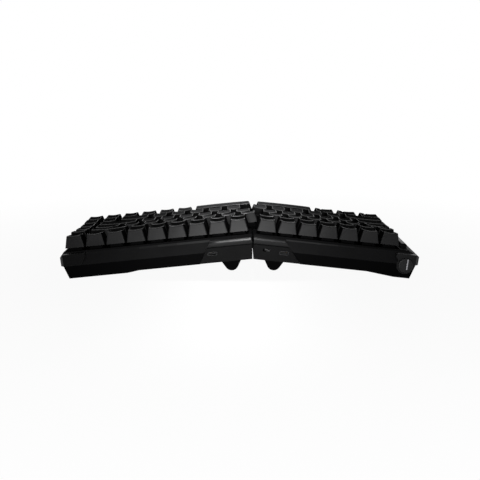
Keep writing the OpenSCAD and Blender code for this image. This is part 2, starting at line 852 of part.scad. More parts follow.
module knob_encoder() color("#4a4a4e") tented(left) difference() {
    encoder_space(0);
    rod_y(-knob_axis_x, -knob_drop, shaft_d + 2 * shaft_fit, -past, past);
}

// A nub through the panel on a wider base behind the case's wall, at the outer end of its travel
module mode_slider() color("#3a3a3d") tented(left) {
    base_y = port_room_y - slider_gap - slider_base_t;
    base_w = slider_w + 2 * slider_lip;
    base_h = slider_h + 2 * slider_lip;
    translate([-slider_x - slider_travel / 2, base_y, -slider_drop]) {
        translate([-slider_w / 2, 0, -slider_h / 2])
            cube([slider_w, rear_reach + slider_proud - base_y, slider_h]);
        translate([-base_w / 2, 0, -base_h / 2]) cube([base_w, slider_base_t, base_h]);
    }
}

// Keycaps

// Body of a keycap with its walls set in from the outside, up to a set distance under the top
module cap_body(w, row, inset, roof) {
    heights = cap_heights[row];
    d = key_pitch - key_gap;
    top = max(heights);
    side_outline = [[-w / 2 + inset, 0], [w / 2 - inset, 0], [w / 2 - inset - cap_taper, top],
        [-w / 2 + inset + cap_taper, top]];
    front_outline = [[-d / 2 + inset, 0], [d / 2 - inset, 0],
        [d / 2 - inset - cap_rear_lean, heights[0] - roof],
        [-d / 2 + inset + cap_front_lean, heights[1] - roof]];
    intersection() {
        rotate([90, 0, 0]) linear_extrude(height = d, center = true) polygon(side_outline);
        rotate([90, 0, 90]) linear_extrude(height = w, center = true) polygon(front_outline);
    }
}

// Round hollow along a keycap's sloped top
module cap_hollow(w, row) {
    heights = cap_heights[row];
    d = key_pitch - key_gap;
    half = w / 2 - cap_taper;
    r = (half * half + cap_dish * cap_dish) / (2 * cap_dish);
    slope = atan2(heights[0] - heights[1], d - cap_rear_lean - cap_front_lean);
    middle_y = (cap_front_lean - cap_rear_lean) / 2;
    translate([0, middle_y, (heights[0] + heights[1]) / 2]) rotate([slope, 0, 0])
        rod_y(0, r - cap_dish, 2 * r, -key_pitch, key_pitch, $fn = 240);
}

module keycap(u_width, row) {
    w = u_width * key_pitch - key_gap;
    post_top = min(cap_heights[row]) - cap_roof / 2 - cap_dish / 2;
    difference() {
        cap_body(w, row, 0, 0);
        if (u_width < bar_u) cap_hollow(w, row);
        translate([0, 0, -0.01]) cap_body(w, row, cap_wall, cap_roof);
    }
    translate([0, 0, -stem_reach]) cylinder(d = stem_d, h = post_top + stem_reach);
    if (u_width >= guided_u) for (hand = [-1, 1])
        translate([hand * guide_x(u_width), 0, -guide_reach])
            cylinder(d = guide_post_d, h = post_top + guide_reach);
}

module key_group(group) color(key_colour) tented(group[1]) {
    for (key = group[3])
        translate(key_place(group[1], group[2], key[0], key[1])) keycap(key[1], group[2]);
}

bottom_case(left);  // left_bottom_case
top_case(left);  // left_top_case
port_panel(left);  // left_port_panel
corner_cap(left);  // left_corner_cap
switch_plate(left);  // left_switch_plate
switches(left);  // left_switches
key_guides(left);  // left_key_guides
circuit_board(left);  // left_circuit_board
battery(left);  // left_battery
port_board(left);  // left_port_board
usb_socket(left);  // left_usb_socket
case_screws(left);  // left_case_screws
leg_pins(left);  // left_leg_pins
feet(left);  // left_feet
leg(left, rear_leg_y);  // left_rear_leg
leg(left, front_leg_y);  // left_front_leg
side_rail();
control_knob();
knob_bar();
knob_encoder();
mode_slider();
bottom_case(right);  // right_bottom_case
top_case(right);  // right_top_case
port_panel(right);  // right_port_panel
corner_cap(right);  // right_corner_cap
switch_plate(right);  // right_switch_plate
switches(right);  // right_switches
key_guides(right);  // right_key_guides
circuit_board(right);  // right_circuit_board
battery(right);  // right_battery
port_board(right);  // right_port_board
usb_socket(right);  // right_usb_socket
case_screws(right);  // right_case_screws
leg_pins(right);  // right_leg_pins
feet(right);  // right_feet
leg(right, rear_leg_y);  // right_rear_leg
leg(right, front_leg_y);  // right_front_leg
for (group = key_groups) key_group(group);
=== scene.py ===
"""Looks of a tented split keyboard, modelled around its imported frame.

The frame holds every piece at its real size and place. This file models the pieces that show,
gives every surface its finish, and sets a plain studio round them. All lengths are in metres.
"""

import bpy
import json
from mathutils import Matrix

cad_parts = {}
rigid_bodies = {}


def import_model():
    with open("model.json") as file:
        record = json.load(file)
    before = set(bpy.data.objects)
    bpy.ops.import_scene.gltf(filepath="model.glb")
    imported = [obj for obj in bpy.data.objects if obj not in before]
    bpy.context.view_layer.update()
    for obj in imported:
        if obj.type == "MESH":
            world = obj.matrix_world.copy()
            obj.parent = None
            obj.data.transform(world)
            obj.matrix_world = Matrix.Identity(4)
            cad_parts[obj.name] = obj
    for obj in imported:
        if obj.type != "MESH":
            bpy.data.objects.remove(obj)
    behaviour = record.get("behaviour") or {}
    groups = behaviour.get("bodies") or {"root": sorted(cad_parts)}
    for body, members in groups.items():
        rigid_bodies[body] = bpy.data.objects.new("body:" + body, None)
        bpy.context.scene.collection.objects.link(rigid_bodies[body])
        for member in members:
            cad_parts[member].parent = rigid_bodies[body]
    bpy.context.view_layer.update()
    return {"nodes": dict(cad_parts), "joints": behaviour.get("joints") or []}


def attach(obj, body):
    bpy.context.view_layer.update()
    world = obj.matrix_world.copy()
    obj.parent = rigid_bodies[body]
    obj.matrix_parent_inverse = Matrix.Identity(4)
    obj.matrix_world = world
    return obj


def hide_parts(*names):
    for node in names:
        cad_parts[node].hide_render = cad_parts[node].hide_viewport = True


bl_info = {
    "name": "Split Keyboard",
    "version": (1, 0, 0),
    "blender": (4, 5, 0),
    "location": "View3D > Sidebar > Split Keyboard",
    "description": "Models the keycaps, shells, legs, ports and knob of a tented split keyboard",
    "category": "Object",
}

import json
import math
import random

import bmesh
import bpy
from bpy.props import FloatProperty, FloatVectorProperty, PointerProperty
from bpy.types import Operator, Panel, PropertyGroup
from mathutils import Matrix, Vector

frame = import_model()

MM = 0.001
SIDES = ("left", "right")
REAR = Vector((0, 1, 0))
# Points closer than this are one point
SAME = 1e-6
# Points of a shell closer than this lie on one line or plane
NEAR = 0.05 * MM
# A face looks in a direction when this much of its normal points there
FACING = 0.9
# Edges that turn by more than this are rounded, in degrees
SHARP_ANGLE = 20
# Faces that turn by less than this are shaded as one surface, in degrees
SMOOTH_ANGLE = 35
# Faces of a frame node that turn by less than this are one flat face, in degrees
FLAT_ANGLE = 0.5
# Shortest edges that are rounded on the shells, the trim and the small pieces
SHELL_LENGTH = 3 * MM
TRIM_LENGTH = 2 * MM
SMALL_LENGTH = 0.2 * MM


def length(name, description, millimetres):
    """A length that a user can change, given here in millimetres."""
    return FloatProperty(name=name, description=description, default=millimetres * MM,
                         min=0, unit="LENGTH", precision=5)


def colour(name, description, red, green, blue):
    """A linear colour that a user can change."""
    return FloatVectorProperty(name=name, description=description, default=(red, green, blue),
                               min=0, max=1, size=3, subtype="COLOR")


def share(name, description, value):
    """A number from 0 to 1 that a user can change."""
    return FloatProperty(name=name, description=description, default=value, min=0, max=1,
                         subtype="FACTOR")


def angle(name, description, degrees):
    """An angle that a user can change, given here in degrees."""
    return FloatProperty(name=name, description=description, default=math.radians(degrees),
                         subtype="ANGLE")


def power(name, description, watts):
    """The power of a light that a user can change."""
    return FloatProperty(name=name, description=description, default=watts, unit="POWER", precision=3)


def lengths(name, description, *millimetres):
    """Lengths that belong together and that a user can change, given here in millimetres."""
    return FloatVectorProperty(name=name, description=description, size=len(millimetres),
                               default=[value * MM for value in millimetres], unit="LENGTH",
                               precision=5)


def point(name, description, x, y, z):
    """A place in the frame that a user can change, in metres."""
    return FloatVectorProperty(name=name, description=description, default=(x, y, z), size=3,
                               subtype="TRANSLATION")


# Settings

class KeycapSettings(PropertyGroup):
    """Sizes and colour of the keycaps"""

    pitch: length("Pitch", "Distance from one key to the next", 19.05)
    gap: length("Gap", "Gap between the lower edges of neighbouring keycaps", 1)
    tall: lengths("Tall rows", "Rear and front height in the function and number rows", 11.4, 9.6)
    upper: lengths("Upper row", "Rear and front height in the upper letter row", 9.8, 8.9)
    home: lengths("Home row", "Rear and front height in the home row", 8.8, 8.8)
    lower: lengths("Lower rows", "Rear and front height in the two lower rows", 8.8, 9.6)
    side_taper: length("Side taper", "Width that each side loses up to the tallest edge", 2.4)
    rear_lean: length("Rear lean", "Depth that the rear face loses up to the top", 1.9)
    front_lean: length("Front lean", "Depth that the front face loses up to the top", 2.6)
    wall: length("Wall", "Thickness of the walls", 1.5)
    roof: length("Roof", "Thickness of the top", 2.6)
    dish: length("Dish", "Depth of the hollow along the top", 0.8)
    crown: length("Crown", "Height of the swell along the top of a space bar", 0.35)
    corner_radius: length("Corner radius", "Radius of the upright edges", 1.2)
    lip_radius: length("Lip radius", "Radius of the edge round the top", 0.8)
    stem_radius: length("Stem radius", "Radius of the stem underneath", 2.7)
    stem_reach: length("Stem reach", "Length of the stem below the lower edge", 2.4)
    guide_radius: length("Guide radius", "Radius of the guide posts of wide keys", 1.8)
    guide_reach: length("Guide reach", "Length of a guide post below the lower edge", 1.4)
    guide_share: share("Guide share", "Distance to a guide post, as a share of the pitch", 0.625)
    marker_size: lengths("Marker size", "Width, depth and height of the touch bar on two home keys",
                         4.2, 1.0, 0.5)
    plastic: colour("Plastic", "Colour of the keycaps' rear and front faces", 0.014, 0.014, 0.0143)
    # Painted light: the tops are the faces' plastic painted lighter, where light falls on them.
    top_plastic: colour("Top plastic", "Colour of the keycaps' tops", 0.036, 0.036, 0.0367)
    # Painted shade: the sides and the lower half of the lip are the same plastic painted darker, for
    # the shade between keys and under the lip.
    side_shade_plastic: colour("Side plastic", "Colour of the keycaps' matt sides", 0.004, 0.004, 0.0042)
    lip_gloss: share("Lip gloss", "Specular level of the polished lip round the tops", 0.24)


class ShellSettings(PropertyGroup):
    """Edges and colours of the shells, panels, legs and feet"""

    shell_edge: length("Shell edge", "Radius of the edges of the upper and lower shells", 0.5)
    trim_edge: length("Trim edge", "Radius of the edges of the panels, caps and rail", 0.6)
    leg_edge: length("Leg edge", "Radius of the edges of the legs", 0.7)
    foot_edge: length("Foot edge", "Radius of the edges of the rubber feet", 0.15)
    brow_height: length("Brow height", "Height of the brow over a port panel", 5.7)
    brow_depth: length("Brow depth", "Depth of the brow over a port panel", 5.2)
    ledge_edge: length("Ledge edge", "Width of the slope along the upper edge of the rear ledge", 1.4)
    ledge_step: length("Ledge step", "Distance from the rear ledge to the rim round the keys", 1.0)
    split_depth: length("Split depth", "Depth of the part of the rear that leans from the split", 9)
    split_lean: length("Split lean", "Distance that its top leans away from the split", 1.2)
    leg_border: length("Leg border", "Width of the border round a leg's sunk face", 2.2)
    leg_sink: length("Leg sink", "Depth of a leg's sunk face", 0.6)
    top_plastic: colour("Top plastic", "Colour of the upper shells", 0.0065, 0.0065, 0.0067)
    # Also painted on the upper shell's rim round the keys, as painted shade under the keycaps.
    bottom_plastic: colour("Bottom plastic", "Colour of the lower shells", 0.0015, 0.0015, 0.0016)
    trim_plastic: colour("Trim plastic", "Colour of the panels, the rail and the edges of the caps",
                         0.003, 0.003, 0.0031)
    # Painted light: both corner caps are the trim plastic painted lighter where light falls on them,
    # the left cap much more than the right.
    left_cap_plastic: colour("Left cap plastic", "Colour of the left corner cap",
                             0.016, 0.016, 0.0163)
    right_cap_plastic: colour("Right cap plastic", "Colour of the right corner cap",
                              0.0048, 0.0048, 0.0049)
    leg_plastic: colour("Leg plastic", "Colour of the legs", 0.002, 0.002, 0.0021)
    rubber: colour("Rubber", "Colour of the feet", 0.008, 0.008, 0.008)


class ControlSettings(PropertyGroup):
    """The control knob, its bar, the slider and the ports"""

    knob_edge: length("Knob edge", "Radius of the edge of the control knob", 0.35)
    knob_thickness: length("Knob thickness", "Thickness of the knob's disc", 2.4)
    knob_rim: length("Knob rim", "Width of the rim round the knob's dish", 0.8)
    knob_dish: length("Knob dish", "Depth of the dish in the knob's face", 0.25)
    shaft_radius: length("Shaft radius", "Radius of the knob's shaft", 3)
    groove_width: length("Groove width", "Width of the grooves across the slider", 0.36)
    groove_depth: length("Groove depth", "Depth of the grooves across the slider", 0.3)
    socket_wall: length("Port wall", "Thickness of a port's shell", 0.35)
    tongue_sink: length("Tongue sink", "Distance from a port's rim to its tongue", 0.7)
    tongue_size: lengths("Tongue", "Width, depth and thickness of a port's tongue", 6.7, 5.4, 0.7)
    contact_size: lengths("Contact", "Width, depth and thickness of a contact on the tongue",
                          0.32, 3.6, 0.08)
    bar_edge: length("Bar edge", "Radius of the edges of the bar across the knob", 0.25)
    knob_plastic: colour("Knob plastic", "Colour of the control knob", 0.007, 0.007, 0.0072)
    bar_metal: colour("Bar metal", "Colour of the bar across the knob", 0.24, 0.24, 0.25)
    steel: colour("Steel", "Colour of the screws and pins", 0.55, 0.56, 0.58)
    port_steel: colour("Port steel", "Colour of the dark shells of the ports", 0.014, 0.014, 0.0145)
    contact_gold: colour("Contact gold", "Colour of the contacts in the ports", 0.22, 0.15, 0.05)


class StageSettings(PropertyGroup):
    """Camera, lights and floor"""

    camera_place: point("Camera place", "Where the camera stands, behind the keyboard",
                        -0.00046, 0.69225, 0.17546)
    camera_pitch: angle("Camera pitch", "Angle that the camera looks down by", 12.38)
    camera_lens: FloatProperty(
        name="Lens", description="Focal length of the camera, in millimetres", default=53.126,
        unit="CAMERA")
    light_aim: point("Light aim", "Point on the rear edge that the soft lights face",
                     0.006, 0.06, 0.05)
    rear_spread: angle("Rear spread", "Angle that the rear light's grid lets out", 28)
    overhead_spread: angle("Overhead spread", "Angle that the overhead light's grid lets out", 12)
    rear_power: power("Rear light", "Power of the low soft light behind the keyboard", 0.26)
    overhead_power: power("Overhead light", "Power of the soft light over the rear edge", 0.17)
    ambient: share("Ambient", "Strength of the light from all round", 0.09)
    floor: colour("Floor", "Colour of the floor", 0.9, 0.9, 0.9)


def settings():
    """The four groups of settings: keycaps, shells, controls and stage."""
    scene = bpy.context.scene
    return (scene.keyboard_keycaps, scene.keyboard_shells, scene.keyboard_controls,
            scene.keyboard_stage)


# Modelling by operators

def deselect():
    """Leaves edit mode and selects nothing."""
    if bpy.context.mode != "OBJECT":
        bpy.ops.object.mode_set(mode="OBJECT")
    bpy.ops.object.select_all(action="DESELECT")


def take(piece):
    """Selects one piece and nothing else."""
    deselect()
    bpy.context.view_layer.objects.active = piece
    piece.select_set(True)


def close_piece():
    """Leaves edit mode and shades the piece smooth, apart from its sharp edges."""
    bpy.ops.object.mode_set(mode="OBJECT")
    piece = bpy.context.object
    bpy.ops.object.shade_smooth_by_angle(angle=math.radians(SMOOTH_ANGLE))
    return piece


def start_box(name, size, centre):
    """A box as a new piece, open in edit mode with all of it selected."""
    deselect()
    bpy.ops.mesh.primitive_cube_add(size=1, enter_editmode=True, location=(0, 0, 0))
    bpy.context.object.name = name
    bpy.ops.transform.resize(value=size, center_override=(0, 0, 0))
    bpy.ops.transform.translate(value=centre)


def start_disc(name, radius, thickness, sides):
    """An upright cylinder as a new piece, open in edit mode with all of it selected."""
    deselect()
    bpy.ops.mesh.primitive_cylinder_add(vertices=sides, radius=radius, depth=thickness,
                                        enter_editmode=True, location=(0, 0, 0))
    bpy.context.object.name = name


def shape_of():
    """The mesh of the piece in edit mode, with its normals up to date."""
    shape = bmesh.from_edit_mesh(bpy.context.edit_object.data)
    shape.normal_update()
    return shape


def pick(kind, test):
    """Selects the vertices, edges or faces in edit mode that pass a test, and nothing else."""
    bpy.ops.mesh.select_mode(type=kind)
    bpy.ops.mesh.select_all(action="DESELECT")
    shape = shape_of()
    parts = {"VERT": shape.verts, "EDGE": shape.edges, "FACE": shape.faces}[kind]
    chosen = [part for part in parts if test(part)]
    if not chosen:
        raise RuntimeError(f"nothing to select on {bpy.context.edit_object.name}")
    for part in chosen:
        part.select_set(True)
    shape.select_flush_mode()
    bmesh.update_edit_mesh(bpy.context.edit_object.data)


def slide(x, y, z):
    """Moves what is selected in edit mode."""
    bpy.ops.transform.translate(value=(x, y, z))


def draw_out(x, y, z):
    """Extrudes the selected faces by a distance."""
    bpy.ops.mesh.extrude_region_move(TRANSFORM_OT_translate={"value": (x, y, z)})


def round_off(radius, segments=3):
    """Rounds the selected edges, and marks the new faces as rubbed edges, which are also painted
    lighter as a highlight.
    """
    bpy.ops.mesh.bevel(offset=radius, segments=segments, profile=0.5, affect="EDGES",
                       clamp_overlap=True)
    shape = shape_of()
    worn_and_highlit = shape.faces.layers.float.get("wear") or shape.faces.layers.float.new("wear")
    for face in shape.faces:
        if face.select:
            face[worn_and_highlit] = 1
    bmesh.update_edit_mesh(bpy.context.edit_object.data)


def paint(number, test):
    """Gives the faces in edit mode that pass a test the piece's finish of this number."""
    shape = shape_of()
    for face in shape.faces:
        if test(face):
            face.material_index = number
    bmesh.update_edit_mesh(bpy.context.edit_object.data)


def rounded(face):
    """True for a face that round_off made on the piece in edit mode."""
    worn_and_highlit = shape_of().faces.layers.float.get("wear")
    return bool(worn_and_highlit) and face[worn_and_highlit] > 0.5


def round_sharp(radius, least_length):
    """Rounds the piece's outward edges that are sharp and have at least this length."""

    def is_sharp(edge):
        if len(edge.link_faces) != 2 or edge.calc_length() < least_length:
            return False
        return edge.calc_face_angle_signed(0) > math.radians(SHARP_ANGLE)

    pick("EDGE", is_sharp)
    round_off(radius)


def copy_of(node, name):
    """Opens a copy of a frame node as a new piece, merged and with its flat faces made whole."""
    piece = bpy.data.objects.new(name, frame["nodes"][node].data.copy())
    piece.data.materials.clear()
    bpy.context.scene.collection.objects.link(piece)
    take(piece)
    bpy.ops.object.mode_set(mode="EDIT")
    bpy.ops.mesh.select_all(action="SELECT")
    bpy.ops.mesh.remove_doubles(threshold=SAME)
    bpy.ops.mesh.dissolve_limited(angle_limit=math.radians(FLAT_ANGLE))


def join(pieces, name):
    """Joins pieces into one, with the first one's materials."""
    deselect()
    for piece in pieces:
        piece.select_set(True)
    bpy.context.view_layer.objects.active = pieces[0]
    bpy.ops.object.join()
    pieces[0].name = name
    return pieces[0]


def even_normals(piece):
    """Makes flat faces shade flat beside rounded edges."""
    take(piece)
    bpy.ops.object.modifier_add(type="WEIGHTED_NORMAL")
    piece.modifiers[-1].keep_sharp = True
    bpy.ops.object.modifier_apply(modifier=piece.modifiers[-1].name)


def coat(piece, finishes):
    """Gives a piece its finishes, in the order that paint numbers them."""
    for finish in finishes:
        piece.data.materials.append(finish)
    return piece


def finish_piece(piece, finishes, body, node):
    """Gives a piece its finishes and body, and hides the frame node that it stands for."""
    coat(piece, finishes)
    even_normals(piece)
    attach(piece, body)
    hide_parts(node)


# Places in the frame

def half_turn(side):
    """The turn from a half's own directions (across, rear, up) to the frame's."""
    press = next(j for j in frame["joints"] if j["name"] == f"{side}_space_key_press")
    up = -Vector(press["axis"]).normalized()
    across = REAR.cross(up)
    return Matrix((across, REAR, up)).transposed()


def half_of(node):
    """The side of the half that a key's node is pressed into."""
    press = next(j for j in frame["joints"] if j["child"] == node)
    return press["parent"].split("_")[0]


def local_box(side, node):
    """Lowest and highest corner of a frame node along its half's own directions."""
    back = half_turn(side).transposed()
    points = [back @ vertex.co for vertex in frame["nodes"][node].data.vertices]
    low = Vector(min(point[i] for point in points) for i in range(3))
    high = Vector(max(point[i] for point in points) for i in range(3))
    return low, high


def place(piece, side, spot):
    """Moves a piece's mesh from its own origin to a spot given along the half's directions."""
    turn = half_turn(side)
    piece.data.transform(Matrix.Translation(turn @ Vector(spot)) @ turn.to_4x4())


# Materials

class Finish:
    """A material under construction, with its nodes made and joined in order."""

    def __init__(self, name):
        self.material = bpy.data.materials.new(name)
        self.material.use_nodes = True
        self.tree = self.material.node_tree
        self.shader = self.tree.nodes["Principled BSDF"]
        self.coordinates = self.add("ShaderNodeTexCoord").outputs["Object"]

    def add(self, kind, **inputs):
        """Adds a node with these values or links on its inputs."""
        node = self.tree.nodes.new(kind)
        for key, value in inputs.items():
            self.put(node.inputs[key.replace("_", " ")], value)
        return node

    def put(self, socket, value):
        """Sets a socket to a value, or links it to another node's output."""
        if isinstance(value, bpy.types.NodeSocket):
            self.tree.links.new(value, socket)
        else:
            socket.default_value = value

    def set(self, **inputs):
        """Sets or links the shader's own inputs."""
        for key, value in inputs.items():
            self.put(self.shader.inputs[key.replace("_", " ")], value)

    def noise(self, scale, detail=2, roughness=0.5, stretch=None):
        """Noise from 0 to 1 on the piece, with features about 1 / scale metres wide."""
        vector = self.coordinates
        if stretch:
            vector = self.add("ShaderNodeMapping", Vector=vector, Scale=stretch).outputs[0]
        return self.add("ShaderNodeTexNoise", Vector=vector, Scale=scale, Detail=detail,
                        Roughness=roughness).outputs["Fac"]

    def spread(self, value, low, high, start=0.3, end=0.7):
        """A value mapped from start..end to low..high."""
        node = self.add("ShaderNodeMapRange", Value=value)
        limits = {"From Min": start, "From Max": end, "To Min": low, "To Max": high}
        for key, limit in limits.items():
            node.inputs[key].default_value = limit
        return node.outputs[0]

    def maths(self, operation, first, second):
        """Two values put together."""
        node = self.tree.nodes.new("ShaderNodeMath")
        node.operation = operation
        self.put(node.inputs[0], first)
        self.put(node.inputs[1], second)
        return node.outputs[0]

    def blend(self, factor, first, second):
        """A colour between two, by a factor."""
        node = self.tree.nodes.new("ShaderNodeMix")
        node.data_type = "RGBA"
        self.put(node.inputs["Factor"], factor)
        for socket, value in zip((node.inputs[6], node.inputs[7]), (first, second)):
            self.put(socket, value)
        return node.outputs[2]

    def bump(self, height, distance, strength, normal=None):
        """A normal from a height."""
        node = self.add("ShaderNodeBump", Height=height, Distance=distance, Strength=strength)
        if normal:
            self.put(node.inputs["Normal"], normal)
        return node.outputs[0]

    def wear(self):
        """1 on rounded edges where patchy rubbing shows and a painted highlight lightens them, and 0
        elsewhere.
        """
        node = self.tree.nodes.new("ShaderNodeAttribute")
        node.attribute_name = "wear"
        patches = self.spread(self.noise(140, 3), 0.15, 1)
        return self.maths("MULTIPLY", node.outputs["Fac"], patches)


def tone(base, gain):
    """A colour made lighter or darker, with its alpha."""
    return (*[min(1, channel * gain) for channel in base], 1)


def moulded_plastic(name, base, roughness, grain, depth, specular):
    """Black plastic from a textured mould: fine grain, uneven sheen, and polished, rubbed edges that
    are painted lighter, partly as a painted highlight.
    """
    finish = Finish(name)
    cloud = finish.noise(45, 3)
    flecks = finish.noise(grain, 4, 0.6)
    worn_and_highlit = finish.wear()
    body = finish.blend(finish.spread(cloud, 0, 1), tone(base, 0.86), tone(base, 1.16))
    speckled = finish.blend(finish.spread(flecks, 0, 0.5), body, tone(base, 1.45))
    dull = finish.maths("ADD", finish.spread(cloud, -0.05, 0.05),
                        finish.spread(flecks, roughness - 0.06, roughness + 0.06))
    # The rounded edges are lighter: partly rubbed plastic, partly a painted highlight.
    finish.set(Base_Color=finish.blend(worn_and_highlit, speckled, tone(base, 1.6)),
               Roughness=finish.maths("SUBTRACT", dull, finish.maths("MULTIPLY", worn_and_highlit, 0.08)),
               Specular_IOR_Level=specular,
               Normal=finish.bump(flecks, depth, 0.6, finish.bump(cloud, depth * 3, 0.25)))
    return finish.material


def keycap_top(name, base):
    """Coarse matt plastic on top of a keycap, smoother where fingers rub it."""
    finish = Finish(name)
    cloud = finish.noise(60, 3)
    flecks = finish.noise(3600, 4, 0.65)
    use = finish.tree.nodes.new("ShaderNodeAttribute")
    use.attribute_name = "use"
    smooth = finish.maths("MULTIPLY", use.outputs["Fac"], finish.spread(cloud, 0.05, 0.25))
    body = finish.blend(finish.spread(cloud, 0, 1), tone(base, 0.9), tone(base, 1.12))
    finish.set(Base_Color=finish.blend(finish.spread(flecks, 0, 0.5), body, tone(base, 1.4)),
               Roughness=finish.maths("SUBTRACT", finish.spread(flecks, 0.74, 0.84), smooth),
               Specular_IOR_Level=0,
               Normal=finish.bump(flecks, 0.03 * MM, 0.6))
    return finish.material


def brushed_metal(name, base, roughness, stretch):
    """Metal with fine lines along one direction."""
    finish = Finish(name)
    lines = finish.noise(900, 4, 0.7, stretch)
    cloud = finish.noise(90, 2)
    finish.set(Base_Color=finish.blend(finish.spread(lines, 0, 1), tone(base, 0.88), tone(base, 1.12)),
               Metallic=1,
               Roughness=finish.maths("ADD", finish.spread(lines, roughness - 0.06, roughness + 0.08),
                                      finish.spread(cloud, -0.04, 0.04)),
               Normal=finish.bump(lines, 0.01 * MM, 0.4))
    return finish.material


def rubber(name, base):
    """Matt rubber with a soft, dusty grain."""
    finish = Finish(name)
    dust = finish.noise(1400, 5, 0.7)
    finish.set(Base_Color=finish.blend(finish.spread(dust, 0, 1), tone(base, 0.8), tone(base, 1.6)),
               Roughness=finish.spread(dust, 0.72, 0.9),
               Specular_IOR_Level=0.25,
               Normal=finish.bump(dust, 0.05 * MM, 0.6))
    return finish.material


def circuit_green(name):
    """Green solder resist over copper tracks."""
    finish = Finish(name)
    cells = finish.add("ShaderNodeTexVoronoi", Vector=finish.coordinates, Scale=420)
    cells.feature = "DISTANCE_TO_EDGE"
    tracks = finish.spread(cells.outputs["Distance"], 1, 0, 0.03, 0.09)
    resist = (0.008, 0.05, 0.024, 1)
    resist_on_copper = (0.03, 0.12, 0.05, 1)
    finish.set(Base_Color=finish.blend(tracks, resist, resist_on_copper),
               Roughness=finish.spread(finish.noise(300), 0.3, 0.45),
               Normal=finish.bump(tracks, 0.03 * MM, 0.7))
    return finish.material


def battery_film(name):
    """Grey shrink film over the cell, with fine creases: painted shade in their hollows and painted
    light on their ridges.
    """
    finish = Finish(name)
    creases = finish.noise(160, 5, 0.65, (1, 0.25, 1))
    # Painted shade and light: the hollows of the creases darker, their ridges lighter
    hollow = (0.16, 0.17, 0.19, 1)
    ridge = (0.24, 0.25, 0.27, 1)
    finish.set(Base_Color=finish.blend(finish.spread(creases, 0, 1), hollow, ridge),
               Roughness=finish.spread(creases, 0.25, 0.4),
               Normal=finish.bump(creases, 0.1 * MM, 0.6))
    return finish.material


# Moulded plastics: roughness, scale of the grain, its depth in millimetres and specular level,
# which is None where a setting gives it
PLASTICS = {
    "keycap_plastic": (0.3, 5200, 0.02, 0.045),
    "keycap_lip": (0.4, 5200, 0.005, None),
    "keycap_side": (0.7, 5200, 0.03, 0),
    "top_plastic": (0.38, 3200, 0.01, 0.018),
    "slope_plastic": (0.44, 3200, 0.006, 0.18),
    "rim_plastic": (0.6, 3200, 0.02, 0.04),
    "bottom_plastic": (0.55, 3200, 0.02, 0.008),
    "trim_plastic": (0.5, 4200, 0.015, 0.02),
    "polished_edge": (0.36, 4200, 0.005, 0.1),
    "leg_plastic": (0.45, 3600, 0.02, 0),
    "knob_plastic": (0.35, 4200, 0.01, 0.16),
    "slider_plastic": (0.4, 4200, 0.01, 0.15),
    "tongue_plastic": (0.5, 4200, 0.01, 0.1),
    "switch_plastic": (0.6, 3000, 0.02, 0.01),
    "plate_paint": (0.6, 5000, 0.02, 0.01),
}
# Stretch of the lines in brushed metal: upwards, and from front to rear
UPWARD_LINES = (1, 1, 0.08)
REARWARD_LINES = (1, 0.1, 1)
# Finishes made so far, by name
FINISHES = {}


def material(name, make, *values):
    """A material made once and shared."""
    if name not in FINISHES:
        FINISHES[name] = make(name, *values)
    return FINISHES[name]


def moulded(name, base, like=None, gloss=None):
    """A moulded plastic from the table, like another there or with another specular level."""
    roughness, grain, depth, specular = PLASTICS[like or name]
    if gloss is not None:
        specular = gloss
    return material(name, moulded_plastic, base, roughness, grain, depth * MM, specular)


# Keycaps

def run(count, width=1, first=0):
    """A run of keys side by side, as first edges and widths in key pitches."""
    return [(first + i * width, width) for i in range(count)]


# Keys of each frame node: its profile, and each key's first edge and width in key pitches
KEY_GROUPS = {
    "left_function_keys": ("tall", run(7)),
    "left_number_keys": ("tall", run(7)),
    "tab_key": ("upper", run(1, 1.5)),
    "left_upper_keys": ("upper", run(5)),
    "caps_key": ("home", run(1, 1.75)),
    "left_home_keys": ("home", run(5)),
    "left_shift_key": ("lower", run(1, 2.25)),
    "left_lower_keys": ("lower", run(5)),
    "left_modifier_keys": ("lower", run(3, 1.25)),
    "left_space_key": ("lower", run(1, 3.25)),
    "right_function_keys": ("tall", run(9)),
    "right_number_keys": ("tall", run(6) + run(1, 1, 8)),
    "backspace_key": ("tall", run(1, 2)),
    "right_upper_keys": ("upper", run(7) + run(1, 1, 8.5)),
    "backslash_key": ("upper", run(1, 1.5)),
    "right_home_keys": ("home", run(6) + run(1, 1, 8.25)),
    "enter_key": ("home", run(1, 2.25)),
    "right_lower_keys": ("lower", run(5) + run(2, 1, 6.75)),
    "right_shift_key": ("lower", run(1, 1.75)),
    "right_space_key": ("lower", run(1, 3.25)),
    "right_modifier_keys": ("lower", run(6)),
}
# Number, in its group, of the key that carries a touch bar
MARKED_KEYS = {"left_home_keys": 3, "right_home_keys": 1}
# Keys of this width or more are space bars, with a swelled top
BAR_WIDTH = 3
# Keys of this width or more have guide posts beside their stem
GUIDED_WIDTH = 2
# Distance of a touch bar from the middle of its key, in key pitches
MARKER_PLACE = 0.22
# Radius of a touch bar's edges, as a share of its depth
MARKER_EDGE = 0.45
# Thickness of a stem's wall, as a share of its radius
STEM_WALL = 0.4
# Least and greatest amount that fingers have rubbed a key, and the start of the random draws
RUBBED = (0.3, 1)
RUB_SEED = 7
# Upward part of the normal that parts a keycap's top and lip from its walls
TOP_UPWARD = 0.5
# Sideways part of the normal from which the lip is painted as top, and a wall as side
LIP_SIDEWAYS = 0.3
WALL_SIDEWAYS = 0.6


def on_top(face):
    """True for a face of a keycap's top."""
    return face.normal.z > 0.8


